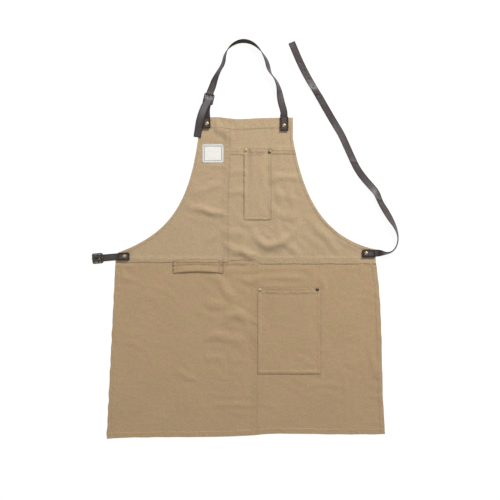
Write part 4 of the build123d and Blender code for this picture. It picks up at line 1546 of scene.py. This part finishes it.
def leather_strap(
    name, line, width_way, up, thickness, w, lengths,
    keep=None, widen=None, shift=None, dent=0, wear_and_sheen=0, dark_mottle_and_shadow=0,
):
    """A strap along a line of points. lengths is each point's distance along it."""
    shape = (len(line), len(w))
    half = w.max()
    full, crease = strap_profile(w, half, thickness)
    widths = np.repeat(w[None], len(line), axis=0)
    if widen is not None:
        widths = widths * widen[:, None]
    if shift is not None:
        widths, slide = widths + shift[0], shift[1]
    else:
        slide = 0 * widths
    along = unit(np.gradient(line, axis=0))
    middle = line[:, None] + width_way[:, None] * widths[..., None] + along[:, None] * slide[..., None]
    top = middle + up[:, None] * (full - crease - dent)[..., None]
    bottom = middle - up[:, None] * full[None, :, None]
    s = np.repeat(lengths[:, None], len(w), axis=1)
    inside = half - np.abs(np.repeat(w[None], len(line), axis=0))
    ends = np.minimum(s - s.min(), s.max() - s)
    edge = np.maximum(np.maximum(bell(inside, 1.7), bell(ends, 1.4)), 0.6 * bell(inside - 2.5, 0.6))
    flat = np.stack([widths, s], -1)
    wear_and_sheen = np.broadcast_to(wear_and_sheen, shape) * (1 - 0.5 * edge)
    dark_mottle_and_shadow = np.broadcast_to(dark_mottle_and_shadow, shape)
    piece = grid_solid(name, top, bottom, keep, flat, {"edge": edge, "wear_and_sheen": wear_and_sheen, "dark_mottle_and_shadow": dark_mottle_and_shadow})
    piece.data.materials.append(leather)
    return piece


def resting_middle(lowest, roll):
    """Height of a strap's middle when its lowest edge is at this height."""
    turn = math.radians(roll)
    return lowest + abs(math.sin(turn)) * strap_width / 2 + abs(math.cos(turn)) * strap_thickness / 2


def from_bar(bar, heading, distance):
    """The place in plan that far beyond a buckle's bar; a negative distance is back to the cloth."""
    turn = math.radians(heading)
    return bar[0] + distance * math.cos(turn), bar[1] + distance * math.sin(turn)


def neck_strap():
    turn = math.radians(neck_heading)
    route = [(x, y, resting_middle(low, roll)) for x, y, low, roll in neck_loop]
    route += [(*from_bar(neck_bar, neck_heading, d), z) for d, z in neck_through_buckle]
    route += neck_tail
    rolls = [roll for *_, roll in neck_loop] + [0] * (len(neck_through_buckle) + len(neck_tail))
    line = read_line(route)
    roll = read_line([(r, 0, 0) for r in rolls])[:, 0]
    width_way, up = strap_frames(line, roll)
    lengths = along_of(line)
    w = across_strap(strap_width / 2, (hole_half,))
    beyond = (line[:, 0] - neck_bar[0]) * math.cos(turn) + (line[:, 1] - neck_bar[1]) * math.sin(turn)
    near = np.hypot(line[:, 0] - neck_bar[0], line[:, 1] - neck_bar[1]) < 16
    slot = (beyond > 2.4) & (beyond < 9.6) & near
    narrow_cells = np.abs((w[1:] + w[:-1]) / 2) < hole_half
    keep = ~((slot[1:] & slot[:-1])[:, None] & narrow_cells[None])
    at_bar = lengths[np.argmin(np.hypot(line[:, 0] - neck_bar[0], line[:, 1] - neck_bar[1]))]
    past_bar = lengths - at_bar
    # Painted highlight round the bar and down the tail, plus random wear along the loop.
    wear_and_sheen = 0.75 * bell(past_bar + 14, 7) + 0.70 * smooth(-9, -5, past_bar) * (1 - smooth(28, 62, past_bar))
    wear_and_sheen = wear_and_sheen + 0.30 * np.clip(waves(lengths, 0 * lengths, 60, 15, 6), 0, 1.5) * (past_bar < -20)
    # Painted shadow on the strap just above the right tab.
    dark_mottle_and_shadow = 0.5 * bell(lengths - 36, 9)
    piece = leather_strap(
        "neck_strap_leather", line, width_way, up, strap_thickness, w, lengths, keep,
        1 + 0.07 * smooth(-30, -12, past_bar), wear_and_sheen=np.clip(wear_and_sheen, 0, 1)[:, None], dark_mottle_and_shadow=dark_mottle_and_shadow[:, None],
    )
    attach(piece, "bib")
    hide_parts("neck_strap")


def waist_strap():
    line = read_line([(x, y, resting_middle(low, roll)) for x, y, low, roll in waist_loop])
    roll = read_line([(r, 0, 0) for *_, r in waist_loop])[:, 0]
    lengths = along_of(line)
    holes = [lengths[-1] - d for d in strap_holes]
    across_hole = np.array([-1.8, -0.9, 0.0, 0.9, 1.8])
    tip = lengths[-1] - np.array([8, 6, 4, 2.8, 2.0, 1.3, 0.8, 0.4, 0.15, 0])
    base = np.arange(0, tip[0], 2.0)
    base = [s for s in base if all(abs(s - h) > 2.9 for h in holes)]
    at = np.array(sorted(base + [h + d for h in holes for d in across_hole] + list(tip)))
    line_at = np.stack([np.interp(at, lengths, line[:, k]) for k in range(3)], -1)
    width_way, up = strap_frames(line, roll)
    way_at = unit(np.stack([np.interp(at, lengths, width_way[:, k]) for k in range(3)], -1))
    up_at = unit(np.stack([np.interp(at, lengths, up[:, k]) for k in range(3)], -1))
    w = across_strap(strap_width / 2)
    move_w, move_s, dent = np.zeros((3, len(at), len(w)))
    for hole in holes:
        for i in np.nonzero(np.abs(at - hole) < 1.81)[0]:
            for j in np.nonzero(np.abs(w) < 1.81)[0]:
                away = np.array([w[j], at[i] - hole])
                rim = max(abs(away)) > 1.7
                radius = hole_radius if rim else hole_floor
                if max(abs(away)) > 0.1:
                    move_w[i, j], move_s[i, j] = away / np.hypot(*away) * radius - away
                dent[i, j] = 0 if rim else hole_depth
    left = lengths[-1] - at
    tip_curve = 1 - 0.22 * (1 - np.sqrt(np.clip(1 - (1 - np.clip(left / 2.2, 0, 1)) ** 2, 0, 1)))
    wear_and_sheen = 0.22 * np.clip(0.35 + 0.6 * waves(at, 0 * at, 70, 16, 6), 0, 1.4)[:, None] + 0 * w
    dark_mottle_and_shadow = 0 * wear_and_sheen
    # At each twist, painted shadow over the run before it and a painted highlight just after it.
    for place, run, shade in creases:
        past = at[:, None] + 0.6 * w - place
        wear_and_sheen = wear_and_sheen + 0.45 * shade * smooth(-1, 2, past) * (1 - smooth(2, 16, past))
        dark_mottle_and_shadow = np.maximum(dark_mottle_and_shadow, shade * smooth(-run, -1.5, past) * (1 - smooth(-1.5, 0.5, past)))
    # The holes' floors also get painted shadow.
    piece = leather_strap(
        "waist_strap_leather", line_at, way_at, up_at, strap_thickness, w, at, None, tip_curve,
        (move_w, move_s), dent, wear_and_sheen, np.maximum(dark_mottle_and_shadow, 0.25 * (dent > 0)),
    )
    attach(piece, "waist_strap_side")
    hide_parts("waist_strap")


def doubled_strap(name, node, body, bar, heading, plan, meet, ramp_start, ramp_end, end, slack, shade):
    """A strap folded round a buckle's bar, both plies running back on to the cloth.

    meet, ramp_start, ramp_end and end are distances back from the bar: where the plies come together,
    where they begin and end their climb on to the cloth, and where they stop. slack is how far the
    fold bulges beyond the bar, and shade how far painted shadow darkens the strap.
    """
    turn = math.radians(heading)
    outward = np.array([math.cos(turn), math.sin(turn)])
    wrap = 1.35 + ply / 2
    low_ply, high_ply = 0.1 + ply / 2, 0.1 + ply * 1.5 + 0.06
    on_cloth = 1.8
    height = bar[2]
    under = [
        (-end, low_ply + on_cloth), (-ramp_end - 6, low_ply + on_cloth), (-ramp_end, low_ply + on_cloth),
        (-ramp_start, low_ply), (-ramp_start + 8, low_ply), (-meet, low_ply),
        (-meet / 2, low_ply * 0.5 + (height - wrap) / 2), (-wrap / 2, height - wrap),
    ]
    fold = [(wrap * math.sin(a), height - wrap * math.cos(a)) for a in np.radians((30, 75, 105, 150))]
    fold = [(d * 1.12 + slack * d / wrap, height + (z - height) * 1.12) for d, z in fold]
    over = [
        (-wrap / 2, height + wrap), (-meet / 2, (height + wrap + high_ply) / 2 + 0.2),
        (-meet, high_ply + 0.15),
        (-ramp_start + 8, high_ply), (-ramp_start, high_ply), (-ramp_end, high_ply + on_cloth),
        (-ramp_end - 6, high_ply + on_cloth), (-end, high_ply + on_cloth),
    ]
    plan = np.asarray(plan, float)
    plan_lengths = along_of(plan)

    def place(distance):
        """Where the strap's middle is in plan, that far from the bar (negative is back to the cloth)."""
        if distance > 0:
            return np.array(bar[:2]) + outward * distance
        return np.array([np.interp(-distance, plan_lengths, plan[:, k]) for k in (0, 1)])

    route = [(*place(d), z) for d, z in under + fold + over]
    distances = [d for d, _ in under + fold + over]
    line = read_line(route, 12)
    spaced = read_line([(d, 0, 0) for d in distances], 12)[:, 0]
    plan_way = np.array([place(-max(-d, 0.5) - 0.5) - place(-max(-d, 0.5) + 0.5) for d in spaced])
    plan_way = unit(np.column_stack([plan_way, np.zeros(len(plan_way))]))
    width_way = np.column_stack([plan_way[:, 1], -plan_way[:, 0], np.zeros(len(plan_way))])
    along = unit(np.gradient(line, axis=0))
    up = np.cross(width_way, along)
    w = across_strap(strap_width / 2, (prong_slot / 2,))
    upper = line[:, 2] > height
    slot = (spaced > np.where(upper, -4.6, -2.8)) & (spaced < np.where(upper, slack + 0.6, 2.6))
    keep = ~((slot[1:] & slot[:-1])[:, None] & (np.abs((w[1:] + w[:-1]) / 2) < prong_slot / 2)[None])
    widen = 1 + 0.08 * smooth(-14, -9, spaced)
    wear_and_sheen = 0.25 * np.clip(waves(spaced, 0 * spaced, 24, 17, 6), 0, 1.5) * (1 - shade)
    piece = leather_strap(
        name, line, width_way, up, ply, w, along_of(line), keep, widen, wear_and_sheen=wear_and_sheen[:, None], dark_mottle_and_shadow=shade
    )
    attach(piece, body)
    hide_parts(node)


def buckle_straps():
    rivet_x, rivet_y = strap_rivets[0]
    bend_x, bend_y = from_bar(neck_bar, neck_heading, -30)
    plan = [
        neck_bar[:2], from_bar(neck_bar, neck_heading, -16), (bend_x + 0.6, bend_y),
        (rivet_x, rivet_y + 10), (rivet_x, rivet_y - 20),
    ]
    # This strap lies almost wholly in painted shadow, for the tail's shadow over it.
    doubled_strap(
        "neck_buckle_leather", "neck_buckle_strap", "bib", neck_bar, neck_heading, plan,
        meet=10, ramp_start=28, ramp_end=42, end=74, slack=0.3, shade=0.95,
    )
    plan = [waist_bar[:2], from_bar(waist_bar, waist_heading, -90)]
    # This strap is half darkened with painted shadow.
    doubled_strap(
        "waist_buckle_leather", "waist_buckle_strap", "waist_buckle_side", waist_bar, waist_heading, plan,
        meet=8, ramp_start=30, ramp_end=44, end=81, slack=10.2, shade=0.45,
    )


def tab(node, rivet_at, slope=0.0):
    """A leather tab with turned, burnished edges; slope lowers its upper right corner."""
    low, high = cad_box(node)
    near = np.array([0, 0.25, 0.6, 1.1, 1.6, 2.1, 2.6, 3.3])
    x, y = box_grid(low, high, stations(near, near, 14, 1.2))
    across_share = (x - low[0]) / (high[0] - low[0])
    up_share = (y - low[1]) / (high[1] - low[1])
    y = y - slope * across_share * smooth(0.35, 1.0, up_share)
    rim_x = np.minimum(x - low[0], high[0] - x)
    rim_y = np.minimum(y - low[1], high[1] - slope * across_share - y)
    corner = 1.6
    pull = np.clip(1 - rim_y / corner, 0, 1) ** 2 * np.clip(1 - rim_x / corner, 0, 1) ** 2 * corner * 0.45
    middle_x, middle_y = (low[0] + high[0]) / 2, (low[1] + high[1]) / 2
    x = x + np.sign(middle_x - x) * pull
    y = y + np.sign(middle_y - y) * pull
    rim = np.minimum(rim_x, rim_y)
    thickness = high[2] - low[2]
    pressed = near_points(x, y, [rivet_at], 4.9, 2.2)
    full = thickness / 2 * (0.5 + 0.5 * np.sqrt(1 - (1 - np.clip(rim / 0.8, 0, 1)) ** 2))
    dome = 0.22 * smooth(1.5, 5, rim) * (1 - pressed) - 0.18 * bell(rim - 2.2, 0.45)
    top = low[2] + thickness / 2 + full + dome
    bottom = low[2] + thickness / 2 - full
    edge = np.maximum(bell(rim, 2.0), 0.7 * bell(rim - 2.4, 0.7))
    # The lighter middle is a painted highlight on the tab's raised face.
    wear_and_sheen = 0.28 * smooth(3, 8, rim) * (1 - pressed)
    piece = sheet_solid(node + "_leather", x, y, top, bottom, {"edge": edge, "wear_and_sheen": wear_and_sheen})
    piece.data.materials.append(tab_leather)
    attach(piece, "bib")
    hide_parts(node)


def tabs():
    tab("neck_tab_left", strap_rivets[0])
    tab("neck_tab_right", strap_rivets[1], 7.5)
    tab("waist_tab_left", strap_rivets[2])
    tab("waist_tab_right", strap_rivets[3])


def metal():
    """The CAD's rivets, buckle frames and prongs get their finish; each pocket's right rivet is dark."""
    for node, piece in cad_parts.items():
        if "pocket_rivets" in node:
            middle = Vector((cad_box(node)[0] + cad_box(node)[1]) / 2 * MM)
            dark_from = (piece.matrix_world.inverted() @ middle).x
            finish = metal_material(node + "_brass", *bright_brass, dark_from)
        elif "rivet" in node:
            finish = brass
        elif "frame" in node or "prong" in node:
            finish = antique
        else:
            continue
        for slot in piece.material_slots:
            slot.link = "OBJECT"
            slot.material = finish


# ---- stage, light and camera ----


def stage():
    reach = 6000
    corners = [(-reach, -reach, 0), (reach, -reach, 0), (reach, reach, 0), (-reach, reach, 0)]
    floor = make_mesh("floor", corners, [[0, 1, 2, 3]])
    floor.data.materials.append(floor_material())


def area_light(name, place, target, size, power):
    light = bpy.data.lights.new(name, "AREA")
    light.shape = "DISK"
    light.size = size
    light.energy = power
    holder = bpy.data.objects.new(name, light)
    bpy.context.scene.collection.objects.link(holder)
    holder.location = place
    way = np.array(target, float) - np.array(place, float)
    holder.rotation_mode = "QUATERNION"
    holder.rotation_quaternion = Vector(way).to_track_quat("-Z", "Y")


def lights():
    world = bpy.data.worlds.new("studio")
    bpy.context.scene.world = world
    world.use_nodes = True
    world.node_tree.nodes["Background"].inputs["Color"].default_value = (1, 1, 1, 1)
    world.node_tree.nodes["Background"].inputs["Strength"].default_value = 0.34
    area_light("key", (1.35, 2.25, 1.75), (0.05, 0.05, 0), 0.9, 112)
    area_light("fill", (-1.9, -0.3, 3.0), (0, 0, 0), 2.2, 30)


def camera():
    """Straight above the apron, from far enough that it looks almost flat-on."""
    lens = bpy.data.cameras.new("camera")
    lens.sensor_width = 36
    height = 6.0
    covered = 1.35
    lens.lens = lens.sensor_width * height / covered
    lens.clip_end = 50
    holder = bpy.data.objects.new("camera", lens)
    bpy.context.scene.collection.objects.link(holder)
    holder.location = (0.0306, -0.0292, height)
    bpy.context.scene.camera = holder
    bpy.context.scene.view_settings.view_transform = "Standard"


camera()
lights()
stage()
fold_grid = settled_folds()
left_bib()
right_bib()
yoke()
left_skirt()
right_skirt()
pocket("chest_pocket", "bib", canvas)
pocket("hip_pocket", "skirt", shaded_skirt_canvas)
towel_loop()
patch()
bib_stitches()
skirt_stitches()
pocket_stitches("chest_pocket", "bib", 7)
pocket_stitches("hip_pocket", "skirt", 8)
loop_stitches()
patch_stitches()
neck_strap()
waist_strap()
buckle_straps()
tabs()
metal()
